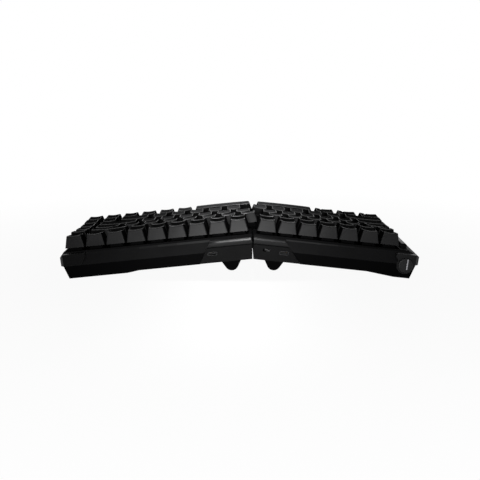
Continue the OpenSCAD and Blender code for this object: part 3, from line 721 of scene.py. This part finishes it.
def shape_walls(caps, width, tall):
    """Tapers the box in edit mode into a keycap's outside, and hollows it from below."""
    rear, front = tall
    top = max(tall)
    for end, height, lean in ((1, rear, caps.rear_lean), (-1, front, caps.front_lean)):
        for hand in (-1, 1):
            pick("VERT", lambda v: v.co.z > SAME and v.co.y * end > 0 and v.co.x * hand > 0)
            slide(-hand * caps.side_taper * height / top, -end * lean, height - top)
    pick("FACE", lambda f: f.normal.z < -FACING)
    bpy.ops.mesh.inset(thickness=caps.wall)
    rise = min(tall) - caps.roof
    draw_out(0, 0, rise)
    depth = caps.pitch - caps.gap
    narrow = 1 - caps.side_taper * rise / top / (width / 2 - caps.wall)
    shallow = 1 - caps.front_lean * rise / top / (depth / 2 - caps.wall)
    bpy.ops.transform.resize(value=(narrow, shallow, 1), center_override=(0, 0, rise))
    pick("EDGE", lambda e: abs(e.verts[0].co.z - e.verts[1].co.z) > rise + SAME)
    bpy.ops.mesh.bevel(offset=caps.corner_radius, segments=4, affect="EDGES")


def shape_top(caps, width, swell):
    """Swells or hollows a keycap's top along its width, and rounds its lip."""
    half = width / 2 - caps.side_taper
    reach = half - 1.1 * caps.corner_radius
    cuts = 2 * round(width / caps.pitch) + 8
    for i in range(cuts + 1):
        pick("FACE", on_top)
        bpy.ops.mesh.bisect(plane_co=(reach * (2 * i / cuts - 1), 0, 0), plane_no=(1, 0, 0))
    columns = {round(v.co.x, 6) for f in shape_of().faces if on_top(f) for v in f.verts}
    for x in columns:
        pick("VERT", lambda v: abs(v.co.x - x) < 2 * SAME and any(map(on_top, v.link_faces)))
        slide(0, 0, swell * max(0, 1 - (x / half) ** 2))
    pick("EDGE", lambda e: sum(map(on_top, e.link_faces)) == 1)
    round_off(caps.lip_radius, 4)


def mark_use():
    """Marks the top of the keycap in edit mode as rubbed by fingers."""
    shape = shape_of()
    use = shape.faces.layers.float.new("use")
    for face in shape.faces:
        face[use] = float(on_top(face))
    bmesh.update_edit_mesh(bpy.context.edit_object.data)


def add_stem(x, radius, low, high):
    """Adds a stem with a socket to the keycap in edit mode."""
    bpy.ops.mesh.primitive_cylinder_add(vertices=20, radius=radius, depth=high - low,
                                        location=(x, 0, (low + high) / 2))
    pick("FACE", lambda f: f.calc_center_median().z < low + SAME
         and abs(f.calc_center_median().x - x) < radius)
    bpy.ops.mesh.inset(thickness=radius * STEM_WALL)
    draw_out(0, 0, (high - low) / 2)


def model_keycap(name, caps, units, profile, finishes):
    """A keycap over the origin, with its lower edge at height zero and a polished lip."""
    tall = getattr(caps, profile)
    width = units * caps.pitch - caps.gap
    top = max(tall)
    is_bar = units >= BAR_WIDTH
    start_box(name, (width, caps.pitch - caps.gap, top), (0, 0, top / 2))
    shape_walls(caps, width, tall)
    shape_top(caps, width, caps.crown if is_bar else -caps.dish)
    mark_use()
    seat = min(tall) - caps.roof / 2 - caps.dish / 2
    add_stem(0, caps.stem_radius, -caps.stem_reach, seat)
    if units >= GUIDED_WIDTH:
        out = caps.pitch if is_bar else caps.pitch * caps.guide_share
        for hand in (-1, 1):
            add_stem(hand * out, caps.guide_radius, -caps.guide_reach, seat)
    paint(1, lambda f: f.normal.z > TOP_UPWARD and rounded(f))
    # Painted light: the tops, and the lip at the sides, get the lighter top colour.
    paint(2, lambda f: f.normal.z > TOP_UPWARD and (not rounded(f) or abs(f.normal.x) > LIP_SIDEWAYS))
    # Painted shade: the walls and the lower half of the lip get the darkest colour, for the dark gaps
    # between keys and the dark line under the lip.
    paint(3, lambda f: f.normal.z < TOP_UPWARD and (rounded(f) or abs(f.normal.x) > WALL_SIDEWAYS))
    return coat(close_piece(), finishes)


def model_marker(caps, finishes):
    """The touch bar of a home key, over the origin."""
    width, depth, height = caps.marker_size
    start_box("touch_bar", (width, depth, 2 * height), (0, 0, 0))
    pick("EDGE", lambda e: all(v.co.z > 0 for v in e.verts) or e.verts[0].co.z * e.verts[1].co.z < 0)
    round_off(depth * MARKER_EDGE, 4)
    mark_use()
    paint(1, lambda face: True)
    return coat(close_piece(), finishes)


def own_copy(master):
    """A copy of a modelled piece with its own mesh."""
    piece = master.copy()
    piece.data = master.data.copy()
    bpy.context.scene.collection.objects.link(piece)
    return piece


def rub(piece, amount):
    """Sets how much a key's top is rubbed, from 0 to 1."""
    for value in piece.data.attributes["use"].data:
        value.value *= amount


class KEYBOARD_OT_keycaps(Operator):
    """Model the keycaps, one piece for each group of keys that moves together"""

    bl_idname = "keyboard.keycaps"
    bl_label = "Keycaps"

    def execute(self, context):
        caps = settings()[0]
        # Faces, lip, tops painted lighter as painted light, and sides painted darker as painted shade
        finishes = (moulded("keycap_plastic", caps.plastic),
                    moulded("keycap_lip", caps.plastic, gloss=caps.lip_gloss),
                    material("keycap_top", keycap_top, caps.top_plastic),
                    moulded("keycap_side", caps.side_shade_plastic))
        marker = model_marker(caps, finishes)
        masters = {}
        fingers = random.Random(RUB_SEED)
        for node, (profile, keys) in KEY_GROUPS.items():
            side = half_of(node)
            low, high = local_box(side, node)
            pieces = []
            for number, (first, units) in enumerate(keys):
                if (profile, units) not in masters:
                    masters[profile, units] = model_keycap("keycap", caps, units, profile,
                                                           finishes)
                spot = Vector((low.x - caps.gap / 2 + (first + units / 2) * caps.pitch,
                               (low.y + high.y) / 2, low.z + caps.stem_reach))
                key = own_copy(masters[profile, units])
                rub(key, fingers.uniform(*RUBBED))
                place(key, side, spot)
                pieces.append(key)
                if MARKED_KEYS.get(node) == number:
                    bar = own_copy(marker)
                    place(bar, side, spot + Vector((0, -caps.pitch * MARKER_PLACE,
                                                    caps.home[0] - caps.dish)))
                    pieces.append(bar)
            finish_piece(join(pieces, f"{node}_caps"), [], node, node)
        for master in (marker, *masters.values()):
            bpy.data.objects.remove(master)
        return {"FINISHED"}


# Shells and trim

# Where further lengths of the brow and the slope start, in widths of the port panel from the split
BROW_STARTS = (0.03, 0.22, 0.42, 0.64, 0.86)
SLOPE_STARTS = (1.4, 1.75, 2.1)
# Specular level of all the brow's lengths on each half, and of the slope's further lengths
BROW_GLOSS = {
    "right": (0.5, 0.42, 0.34, 0.27, 0.26, 0.5),
    "left": (0.2, 0.17, 0.15, 0.13, 0.13, 0.2),
}
SLOPE_GLOSS = (0.12, 0.06, 0.02)
# Upward part of the normal on the brow, on the slope under it and on the slope along the ledge
BROW_UPWARD = (0.58, 1.1)
UNDER_UPWARD = (0.2, 0.58)
LEDGE_UPWARD = (0.55, 0.95)


def rounded_node(node, name, radius, least_length):
    """A piece with the frame node's shape and rounded outward edges."""
    copy_of(node, name)
    round_sharp(radius, least_length)
    return close_piece()


def rear_places(side):
    """Tests for an upper shell's faces: on the brow, the rim round the keys and the ledge's slope."""
    shells = settings()[1]
    low, high = local_box(side, f"{side}_port_panel")
    back = half_turn(side).transposed()
    brow_front = high.y - shells.brow_depth
    brow_top = high.z + shells.brow_height

    def leans(face, limits):
        return limits[0] < (back @ face.normal).z < limits[1]

    def on_brow(face):
        spot = back @ face.calc_center_median()
        return (low.x < spot.x < high.x and spot.y > brow_front and leans(face, BROW_UPWARD)
                and high.z < spot.z < brow_top + NEAR)

    def on_slope(face):
        spot = back @ face.calc_center_median()
        if low.x < spot.x < high.x:
            return (spot.y > brow_front and leans(face, UNDER_UPWARD)
                    and high.z < spot.z < brow_top)
        return (spot.y > brow_front - 2 * shells.ledge_step and leans(face, LEDGE_UPWARD)
                and abs(spot.z - brow_top) < shells.ledge_edge)

    def on_rim(face):
        return (back @ face.calc_center_median()).z > brow_top + NEAR and not on_slope(face)

    return on_brow, on_rim, on_slope


def fade(side, test, starts, first):
    """Cuts the faces of the test at the starts, and paints the lengths away from the split in turn."""
    low, high = local_box(side, f"{side}_port_panel")
    turn = half_turn(side)
    split, outer = (low.x, high.x) if side == "right" else (high.x, low.x)
    for number, widths in enumerate(starts, first):
        start = split + widths * (outer - split)
        pick("FACE", test)
        bpy.ops.mesh.bisect(plane_co=turn @ Vector((start, 0, 0)), plane_no=turn.col[0])
        paint(number, lambda face: test(face) and (
            (turn.transposed() @ face.calc_center_median()).x - start) * (outer - split) > 0)


def open_split(side):
    """Leans the rear of the shell in edit mode away from the split, above the port panel."""
    shells = settings()[1]
    outward = 1 if side == "right" else -1
    panel = [vertex.co for vertex in frame["nodes"][f"{side}_port_panel"].data.vertices]
    inner = outward * min(outward * spot.x for spot in panel)
    foot = max(spot.z for spot in panel if abs(spot.x - inner) < NEAR)
    rear = max(spot.y for spot in panel)

    def at_split(vertex):
        return (abs(vertex.co.x - inner) < NEAR and vertex.co.z > foot
                and vertex.co.y > rear - shells.split_depth)

    levels = sorted({round(vertex.co.z, 6) for vertex in shape_of().verts if at_split(vertex)})
    for level in levels:
        pick("VERT", lambda v: at_split(v) and abs(v.co.z - level) < 0.01 * MM)
        slide(outward * shells.split_lean * (level - foot) / (levels[-1] - foot), 0, 0)


def slope_ledge(side):
    """Slopes the upper edge of the rear ledge, on the shell in edit mode, and sets back the rim."""
    shells = settings()[1]
    low, high = local_box(side, f"{side}_port_panel")
    back = half_turn(side).transposed()
    edge_y = high.y - shells.brow_depth
    edge_z = high.z + shells.brow_height

    def on_edge(edge):
        ends = [back @ vertex.co for vertex in edge.verts]
        return (all(max(abs(end.y - edge_y), abs(end.z - edge_z)) < 2 * NEAR for end in ends)
                and not low.x < (ends[0].x + ends[1].x) / 2 < high.x)

    pick("EDGE", on_edge)
    bpy.ops.mesh.bevel(offset=shells.ledge_edge, segments=1, affect="EDGES", clamp_overlap=True)

    def over_edge(vertex):
        spot = back @ vertex.co
        return spot.z > edge_z + 4 * NEAR and spot.y > edge_y - shells.ledge_step - 4 * NEAR

    pick("VERT", over_edge)
    slide(0, -shells.ledge_step, 0)


class KEYBOARD_OT_shells(Operator):
    """Model the upper and lower shells of both halves with rounded edges"""

    bl_idname = "keyboard.shells"
    bl_label = "Shells"

    def execute(self, context):
        shells = settings()[1]
        upper = moulded("top_plastic", shells.top_plastic)
        slope = moulded("slope_plastic", shells.top_plastic)
        faded = [moulded(f"faded_plastic_{number}", shells.top_plastic, "slope_plastic", gloss)
                 for number, gloss in enumerate(SLOPE_GLOSS, 1)]
        # Painted shade: the rim round the keys takes the lower shells' darker colour, for the shade
        # under the keycaps.
        rim = moulded("rim_plastic", shells.bottom_plastic)
        lower = moulded("bottom_plastic", shells.bottom_plastic)
        for side in SIDES:
            brow, *further = [
                moulded(f"{side}_brow_plastic_{number}", shells.top_plastic, "slope_plastic", gloss)
                for number, gloss in enumerate(BROW_GLOSS[side], 1)]
            finishes = [upper, brow, rim, slope, *further, *faded]
            node = f"{side}_top_case"
            copy_of(node, f"{side}_top_shell")
            slope_ledge(side)
            open_split(side)
            round_sharp(shells.shell_edge, SHELL_LENGTH)
            on_brow, on_rim, on_slope = rear_places(side)
            paint(1, on_brow)
            paint(2, on_rim)
            paint(3, on_slope)
            fade(side, on_brow, BROW_STARTS, finishes.index(further[0]))
            fade(side, on_slope, SLOPE_STARTS, finishes.index(faded[0]))
            finish_piece(close_piece(), finishes, f"{side}_half", node)
            node = f"{side}_bottom_case"
            piece = rounded_node(node, f"{side}_bottom_shell", shells.shell_edge, SHELL_LENGTH)
            finish_piece(piece, [lower], f"{side}_half", node)
        return {"FINISHED"}


class KEYBOARD_OT_trim(Operator):
    """Model the port panels, corner caps and side rail"""

    bl_idname = "keyboard.trim"
    bl_label = "Panels, corner caps and rail"

    def execute(self, context):
        shells = settings()[1]
        plastic = moulded("trim_plastic", shells.trim_plastic)
        edge = moulded("polished_edge", shells.trim_plastic)
        # Painted light: the caps are lighter copies of the trim plastic.
        caps = {
            "left_corner_cap": moulded("left_cap_plastic", shells.left_cap_plastic, "trim_plastic"),
            "right_corner_cap": moulded("right_cap_plastic", shells.right_cap_plastic, "trim_plastic"),
        }
        for node in ("left_port_panel", "right_port_panel", "left_corner_cap", "right_corner_cap",
                     "side_rail"):
            copy_of(node, f"{node}_trim")
            round_sharp(shells.trim_edge, TRIM_LENGTH)
            if "panel" not in node:
                paint(1, rounded)
            piece = close_piece()
            side = "right" if node.startswith("right") else "left"
            finish_piece(piece, [caps.get(node, plastic), edge], f"{side}_half", node)
        return {"FINISHED"}


# Least area of a leg's broad faces
LEG_FACE_AREA = (10 * MM) ** 2


class KEYBOARD_OT_legs(Operator):
    """Model the four flip-out legs"""

    bl_idname = "keyboard.legs"
    bl_label = "Legs"

    def execute(self, context):
        shells = settings()[1]
        plastic = moulded("leg_plastic", shells.leg_plastic)
        for side in SIDES:
            for end in ("rear", "front"):
                node = f"{side}_{end}_leg"
                copy_of(node, f"{node}_moulding")
                pick("FACE", lambda f: abs(f.normal.y) > FACING and f.calc_area() > LEG_FACE_AREA)
                bpy.ops.mesh.inset(thickness=shells.leg_border, depth=-shells.leg_sink)
                round_sharp(shells.leg_edge, SMALL_LENGTH)
                finish_piece(close_piece(), [plastic], node, node)
        return {"FINISHED"}


class KEYBOARD_OT_feet(Operator):
    """Model the rubber feet under the outer ends"""

    bl_idname = "keyboard.feet"
    bl_label = "Feet"

    def execute(self, context):
        shells = settings()[1]
        matt = material("foot_rubber", rubber, shells.rubber)
        for side in SIDES:
            node = f"{side}_feet"
            piece = rounded_node(node, f"{side}_rubber_feet", shells.foot_edge, SMALL_LENGTH)
            finish_piece(piece, [matt], f"{side}_half", node)
        return {"FINISHED"}


# Knob, slider and ports

def along_rear(piece, side, spot):
    """Turns a piece's upward side to the rear and moves it to a spot on a half."""
    piece.data.transform(Matrix.Rotation(-math.pi / 2, 4, "X"))
    place(piece, side, spot)


# Grooves round the knob, the part of its thickness that they cover, and its radius at their floor
KNOB_GROOVES = 30
GROOVE_BAND = (0.3, 0.9)
GROOVE_FLOOR = 0.955
# Width of the knob's dish at its floor, as a share of its width at the rim
DISH_FLOOR = 0.96
# Radius of the edge at the end of the knob's shaft
SHAFT_EDGE = 0.4 * MM


def model_knob(controls, radius, depth):
    """The control knob: a grooved disc with a shallow dish on a shaft, with its face at height zero."""
    sides = 3 * KNOB_GROOVES
    thickness = controls.knob_thickness
    band_top, band_foot = GROOVE_BAND
    start_disc("knob_grip", radius, thickness, sides)
    slide(0, 0, -thickness / 2)
    for level in GROOVE_BAND:
        bpy.ops.mesh.select_all(action="SELECT")
        bpy.ops.mesh.bisect(plane_co=(0, 0, -thickness * level), plane_no=(0, 0, 1))

    def in_groove(face):
        level = -face.calc_center_median().z / thickness
        number = round(math.atan2(face.normal.y, face.normal.x) / math.tau * sides - 0.5)
        return abs(face.normal.z) < 0.5 and band_top < level < band_foot and number % 3 == 0

    pick("FACE", in_groove)
    draw_out(0, 0, 0)
    bpy.ops.transform.resize(value=(GROOVE_FLOOR, GROOVE_FLOOR, 1), center_override=(0, 0, 0))
    pick("FACE", lambda f: f.normal.z > 0.99 and f.calc_area() > radius ** 2)
    bpy.ops.mesh.inset(thickness=controls.knob_rim + controls.knob_edge)
    draw_out(0, 0, -controls.knob_dish)
    bpy.ops.transform.resize(value=(DISH_FLOOR, DISH_FLOOR, 1), center_override=(0, 0, 0))
    pick("EDGE", lambda e: all(v.co.z > -SAME and v.co.xy.length > radius * 0.99 for v in e.verts))
    round_off(controls.knob_edge, 4)
    shaft = depth - thickness
    bpy.ops.mesh.primitive_cylinder_add(vertices=32, radius=controls.shaft_radius, depth=shaft,
                                        location=(0, 0, -thickness - shaft / 2))
    pick("EDGE", lambda e: any(f.normal.z < -FACING and f.calc_center_median().z < -depth + SAME
                               for f in e.link_faces))
    round_off(SHAFT_EDGE)
    return close_piece()


class KEYBOARD_OT_knob(Operator):
    """Model the control knob and the bright bar across it"""

    bl_idname = "keyboard.knob"
    bl_label = "Control knob"

    def execute(self, context):
        controls = settings()[2]
        plastic = moulded("knob_plastic", controls.knob_plastic)
        metal = material("bar_metal", brushed_metal, controls.bar_metal, 0.25, UPWARD_LINES)
        low, high = local_box("left", "control_knob")
        knob = model_knob(controls, (high.x - low.x) / 2, high.y - low.y)
        along_rear(knob, "left", ((low.x + high.x) / 2, high.y, (low.z + high.z) / 2))
        finish_piece(knob, [plastic], "knob", "control_knob")
        bar = rounded_node("knob_bar", "knob_pointer", controls.bar_edge, SMALL_LENGTH)
        finish_piece(bar, [metal], "knob", "knob_bar")
        return {"FINISHED"}


# Distance between the slider's grooves, in widths of a groove, and radius of its edges
GROOVE_STEP = 2.2
SLIDER_EDGE = 0.08 * MM


class KEYBOARD_OT_slider(Operator):
    """Model the mode slider with grooves across its nub"""

    bl_idname = "keyboard.slider"
    bl_label = "Mode slider"

    def execute(self, context):
        controls = settings()[2]
        plastic = moulded("slider_plastic", controls.knob_plastic)
        low, high = local_box("left", "mode_slider")
        turn = half_turn("left")
        across = turn @ Vector((1, 0, 0))
        middle = (low.x + high.x) / 2
        width = controls.groove_width

        def on_nub(face):
            return face.normal.y > FACING and face.calc_center_median().y > high.y - NEAR

        copy_of("mode_slider", "slider_nub")
        grooves = [middle + i * GROOVE_STEP * width for i in (-1, 0, 1)]
        for groove in grooves:
            for edge in (-width / 2, width / 2):
                pick("FACE", on_nub)
                bpy.ops.mesh.bisect(plane_co=turn @ Vector((groove + edge, 0, 0)), plane_no=across)
        pick("FACE", lambda f: on_nub(f) and any(
            abs(across.dot(f.calc_center_median()) - groove) < width / 4 for groove in grooves))
        draw_out(0, -controls.groove_depth, 0)
        round_sharp(SLIDER_EDGE, SMALL_LENGTH)
        finish_piece(close_piece(), [plastic], "slider", "mode_slider")
        return {"FINISHED"}


# Contacts on each face of a port's tongue, and depth of a port as a share of its shell
CONTACTS = 8
PORT_DEPTH = 0.86
# Radius of a port's round ends as a share of its height, and of a block's edges as one of its thickness
PORT_ROUND = 0.495
BLOCK_EDGE = 0.2


def add_block(size, centre, number):
    """Adds a block with rounded edges and the finish of this number to the piece in edit mode."""
    bpy.ops.mesh.select_mode(type="FACE")
    bpy.ops.mesh.primitive_cube_add(size=1, location=centre, scale=size)
    paint(number, lambda face: face.select)
    bpy.ops.mesh.bevel(offset=min(size) * BLOCK_EDGE, segments=2, affect="EDGES")


def model_socket(controls, size):
    """A port's shell with its tongue and contacts, round the origin and open to the rear."""
    depth, height = size[1:]
    start_box("socket", size, (0, 0, 0))
    pick("EDGE", lambda e: abs(e.verts[0].co.y - e.verts[1].co.y) > SAME)
    round_off(height * PORT_ROUND, 8)
    pick("FACE", lambda f: f.normal.y > FACING)
    bpy.ops.mesh.inset(thickness=controls.socket_wall)
    draw_out(0, -depth * PORT_DEPTH, 0)
    paint(1, lambda f: f.normal.y > FACING and f.calc_center_median().y < 0)
    tongue, contact = controls.tongue_size, controls.contact_size
    front = depth / 2 - controls.tongue_sink
    add_block(tongue, (0, front - tongue[1] / 2, 0), 1)
    for hand in (-1, 1):
        for i in range(CONTACTS):
            x = (i - (CONTACTS - 1) / 2) * tongue[0] / (CONTACTS + 1)
            add_block(contact, (x, front - tongue[1] * 0.6, hand * tongue[2] / 2), 2)
    return close_piece()


class KEYBOARD_OT_ports(Operator):
    """Model the ports in both panels, each with a tongue and contacts"""

    bl_idname = "keyboard.ports"
    bl_label = "Ports"

    def execute(self, context):
        controls = settings()[2]
        shell = material("port_steel", brushed_metal, controls.port_steel, 0.35, REARWARD_LINES)
        tongue = moulded("tongue_plastic", controls.knob_plastic)
        gold = material("contact_gold", brushed_metal, controls.contact_gold, 0.3, REARWARD_LINES)
        for side in SIDES:
            node = f"{side}_usb_socket"
            low, high = local_box(side, node)
            piece = model_socket(controls, high - low)
            piece.name = f"{side}_socket"
            place(piece, side, (low + high) / 2)
            finish_piece(piece, [shell, tongue, gold], f"{side}_half", node)
        return {"FINISHED"}


# Inside

# Colour of the switches and the plates under them, nearly black as painted shade in the gaps between
# the keycaps
INSIDE_SHADE_BLACK = (0.002, 0.002, 0.0021)


class KEYBOARD_OT_inside(Operator):
    """Give the frame nodes inside the case their finishes"""

    bl_idname = "keyboard.inside"
    bl_label = "Inside"

    def execute(self, context):
        controls = settings()[2]
        housing = moulded("switch_plastic", INSIDE_SHADE_BLACK)
        # Painted shade: the plate takes the nearly black colour of the shade between the keycaps.
        painted = moulded("plate_paint", INSIDE_SHADE_BLACK)
        steel = material("plain_steel", brushed_metal, controls.steel, 0.3, REARWARD_LINES)
        green = material("circuit_green", circuit_green)
        film = material("battery_film", battery_film)
        finishes = {"switches": housing, "key_guides": housing, "switch_plate": painted,
                    "circuit_board": green, "port_board": green, "battery": film,
                    "case_screws": steel, "leg_pins": steel}
        for side in SIDES:
            for part, finish in finishes.items():
                dress(f"{side}_{part}", finish)
        dress("knob_encoder", housing)
        return {"FINISHED"}


def dress(node, finish):
    """Puts a material on a frame node that stays as it is."""
    piece = frame["nodes"][node]
    if not piece.material_slots:
        piece.data.materials.append(finish)
    for slot in piece.material_slots:
        slot.material = finish


# Stage

# Distance of the soft lights, and size of the floor, in metres
LIGHT_DISTANCE = 0.85
FLOOR_SIZE = 12
# Whiteness of the floor near the keyboard and far off, and the distances between which it changes
FLOOR_WHITE = (0.94, 1)
FLOOR_CHANGE = (0.15, 0.5)


def soft_light(name, elevation, size, spread, power):
    """A soft light on the middle of the rear edge, with a grid that keeps it to the middle.

    The elevation in degrees goes from behind the keyboard, over it, to its front.
    """
    stage = settings()[3]
    light = bpy.data.lights.new(name, "AREA")
    light.shape = "RECTANGLE"
    light.size, light.size_y = size
    light.spread = spread
    light.energy = power
    lamp = bpy.data.objects.new(name, light)
    angle = math.radians(elevation)
    away = Vector((0, math.cos(angle), math.sin(angle)))
    lamp.location = Vector(stage.light_aim) + LIGHT_DISTANCE * away
    lamp.rotation_euler = (-away).to_track_quat("-Z", "Y").to_euler()
    bpy.context.scene.collection.objects.link(lamp)


def seen_directly(tree):
    """1 for what the camera sees, itself or in a reflection, and 0 for light on other surfaces."""
    path = tree.nodes.new("ShaderNodeLightPath")
    seen = path.outputs["Is Camera Ray"]
    for ray in ("Is Glossy Ray", "Is Transmission Ray"):
        either = tree.nodes.new("ShaderNodeMath")
        either.operation = "MAXIMUM"
        tree.links.new(seen, either.inputs[0])
        tree.links.new(path.outputs[ray], either.inputs[1])
        seen = either.outputs[0]
    return seen


def white_world(ambient):
    """White for the camera and in reflections, and a weaker light from all round."""
    world = bpy.data.worlds.new("studio")
    world.use_nodes = True
    tree = world.node_tree
    strength = tree.nodes.new("ShaderNodeMapRange")
    strength.inputs["To Min"].default_value = ambient
    tree.links.new(seen_directly(tree), strength.inputs["Value"])
    background = tree.nodes["Background"]
    background.inputs["Color"].default_value = (1, 1, 1, 1)
    tree.links.new(strength.outputs[0], background.inputs["Strength"])
    bpy.context.scene.world = world


def pale_floor(name, base):
    """A pale floor that is white to the camera, apart from the shadow of what stands on it."""
    finish = Finish(name)
    tree = finish.tree
    finish.set(Base_Color=tone(base, 1), Roughness=0.9, Specular_IOR_Level=0)
    glow = finish.add("ShaderNodeEmission", Color=(1, 1, 1, 1), Strength=1)
    mixed = tree.nodes.new("ShaderNodeMixShader")
    distance = finish.add("ShaderNodeVectorMath", Vector=finish.coordinates)
    distance.operation = "LENGTH"
    white = finish.spread(distance.outputs["Value"], *FLOOR_WHITE, *FLOOR_CHANGE)
    tree.links.new(finish.maths("MULTIPLY", seen_directly(tree), white), mixed.inputs[0])
    tree.links.new(finish.shader.outputs[0], mixed.inputs[1])
    tree.links.new(glow.outputs[0], mixed.inputs[2])
    tree.links.new(mixed.outputs[0], tree.nodes["Material Output"].inputs["Surface"])
    return finish.material


class KEYBOARD_OT_stage(Operator):
    """Set the floor, the soft lights and the camera behind the keyboard"""

    bl_idname = "keyboard.stage"
    bl_label = "Stage"

    def execute(self, context):
        stage = settings()[3]
        scene = context.scene
        scene.view_settings.view_transform = "Standard"
        deselect()
        bpy.ops.mesh.primitive_plane_add(size=FLOOR_SIZE, location=(0, 0, 0))
        floor = context.object
        floor.name = "floor"
        floor.data.materials.append(pale_floor("pale_floor", stage.floor))
        white_world(stage.ambient)
        soft_light("rear_light", elevation=0, size=(0.14, 0.06), spread=stage.rear_spread,
                   power=stage.rear_power)
        soft_light("overhead_light", elevation=97, size=(0.08, 0.4), spread=stage.overhead_spread,
                   power=stage.overhead_power)
        view = bpy.data.cameras.new("rear_view")
        view.lens = stage.camera_lens
        camera = bpy.data.objects.new("rear_view", view)
        camera.location = stage.camera_place
        camera.rotation_euler = (math.pi / 2 - stage.camera_pitch, 0, math.pi)
        scene.collection.objects.link(camera)
        scene.camera = camera
        return {"FINISHED"}


class KEYBOARD_PT_panel(Panel):
    """Settings and steps of the split keyboard"""

    bl_idname = "KEYBOARD_PT_panel"
    bl_label = "Split Keyboard"
    bl_space_type = "VIEW_3D"
    bl_region_type = "UI"
    bl_category = "Split Keyboard"

    def draw(self, context):
        for group in settings():
            box = self.layout.box()
            for name in group.__annotations__:
                box.prop(group, name)
        for step in STEPS:
            self.layout.operator(step.bl_idname)


GROUPS = {
    "keyboard_keycaps": KeycapSettings,
    "keyboard_shells": ShellSettings,
    "keyboard_controls": ControlSettings,
    "keyboard_stage": StageSettings,
}
STEPS = (
    KEYBOARD_OT_stage,
    KEYBOARD_OT_keycaps,
    KEYBOARD_OT_shells,
    KEYBOARD_OT_trim,
    KEYBOARD_OT_legs,
    KEYBOARD_OT_feet,
    KEYBOARD_OT_knob,
    KEYBOARD_OT_slider,
    KEYBOARD_OT_ports,
    KEYBOARD_OT_inside,
)


def register():
    """Registers the settings, the steps and the panel."""
    for kind in (*GROUPS.values(), *STEPS, KEYBOARD_PT_panel):
        bpy.utils.register_class(kind)
    for name, kind in GROUPS.items():
        setattr(bpy.types.Scene, name, PointerProperty(type=kind))


def unregister():
    """Takes back what register did."""
    for name in GROUPS:
        delattr(bpy.types.Scene, name)
    for kind in (KEYBOARD_PT_panel, *reversed(STEPS), *GROUPS.values()):
        bpy.utils.unregister_class(kind)


def main():
    """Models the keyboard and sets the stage."""
    register()
    for step in STEPS:
        group, name = step.bl_idname.split(".")
        getattr(getattr(bpy.ops, group), name)()


if __name__ == "__main__":
    main()
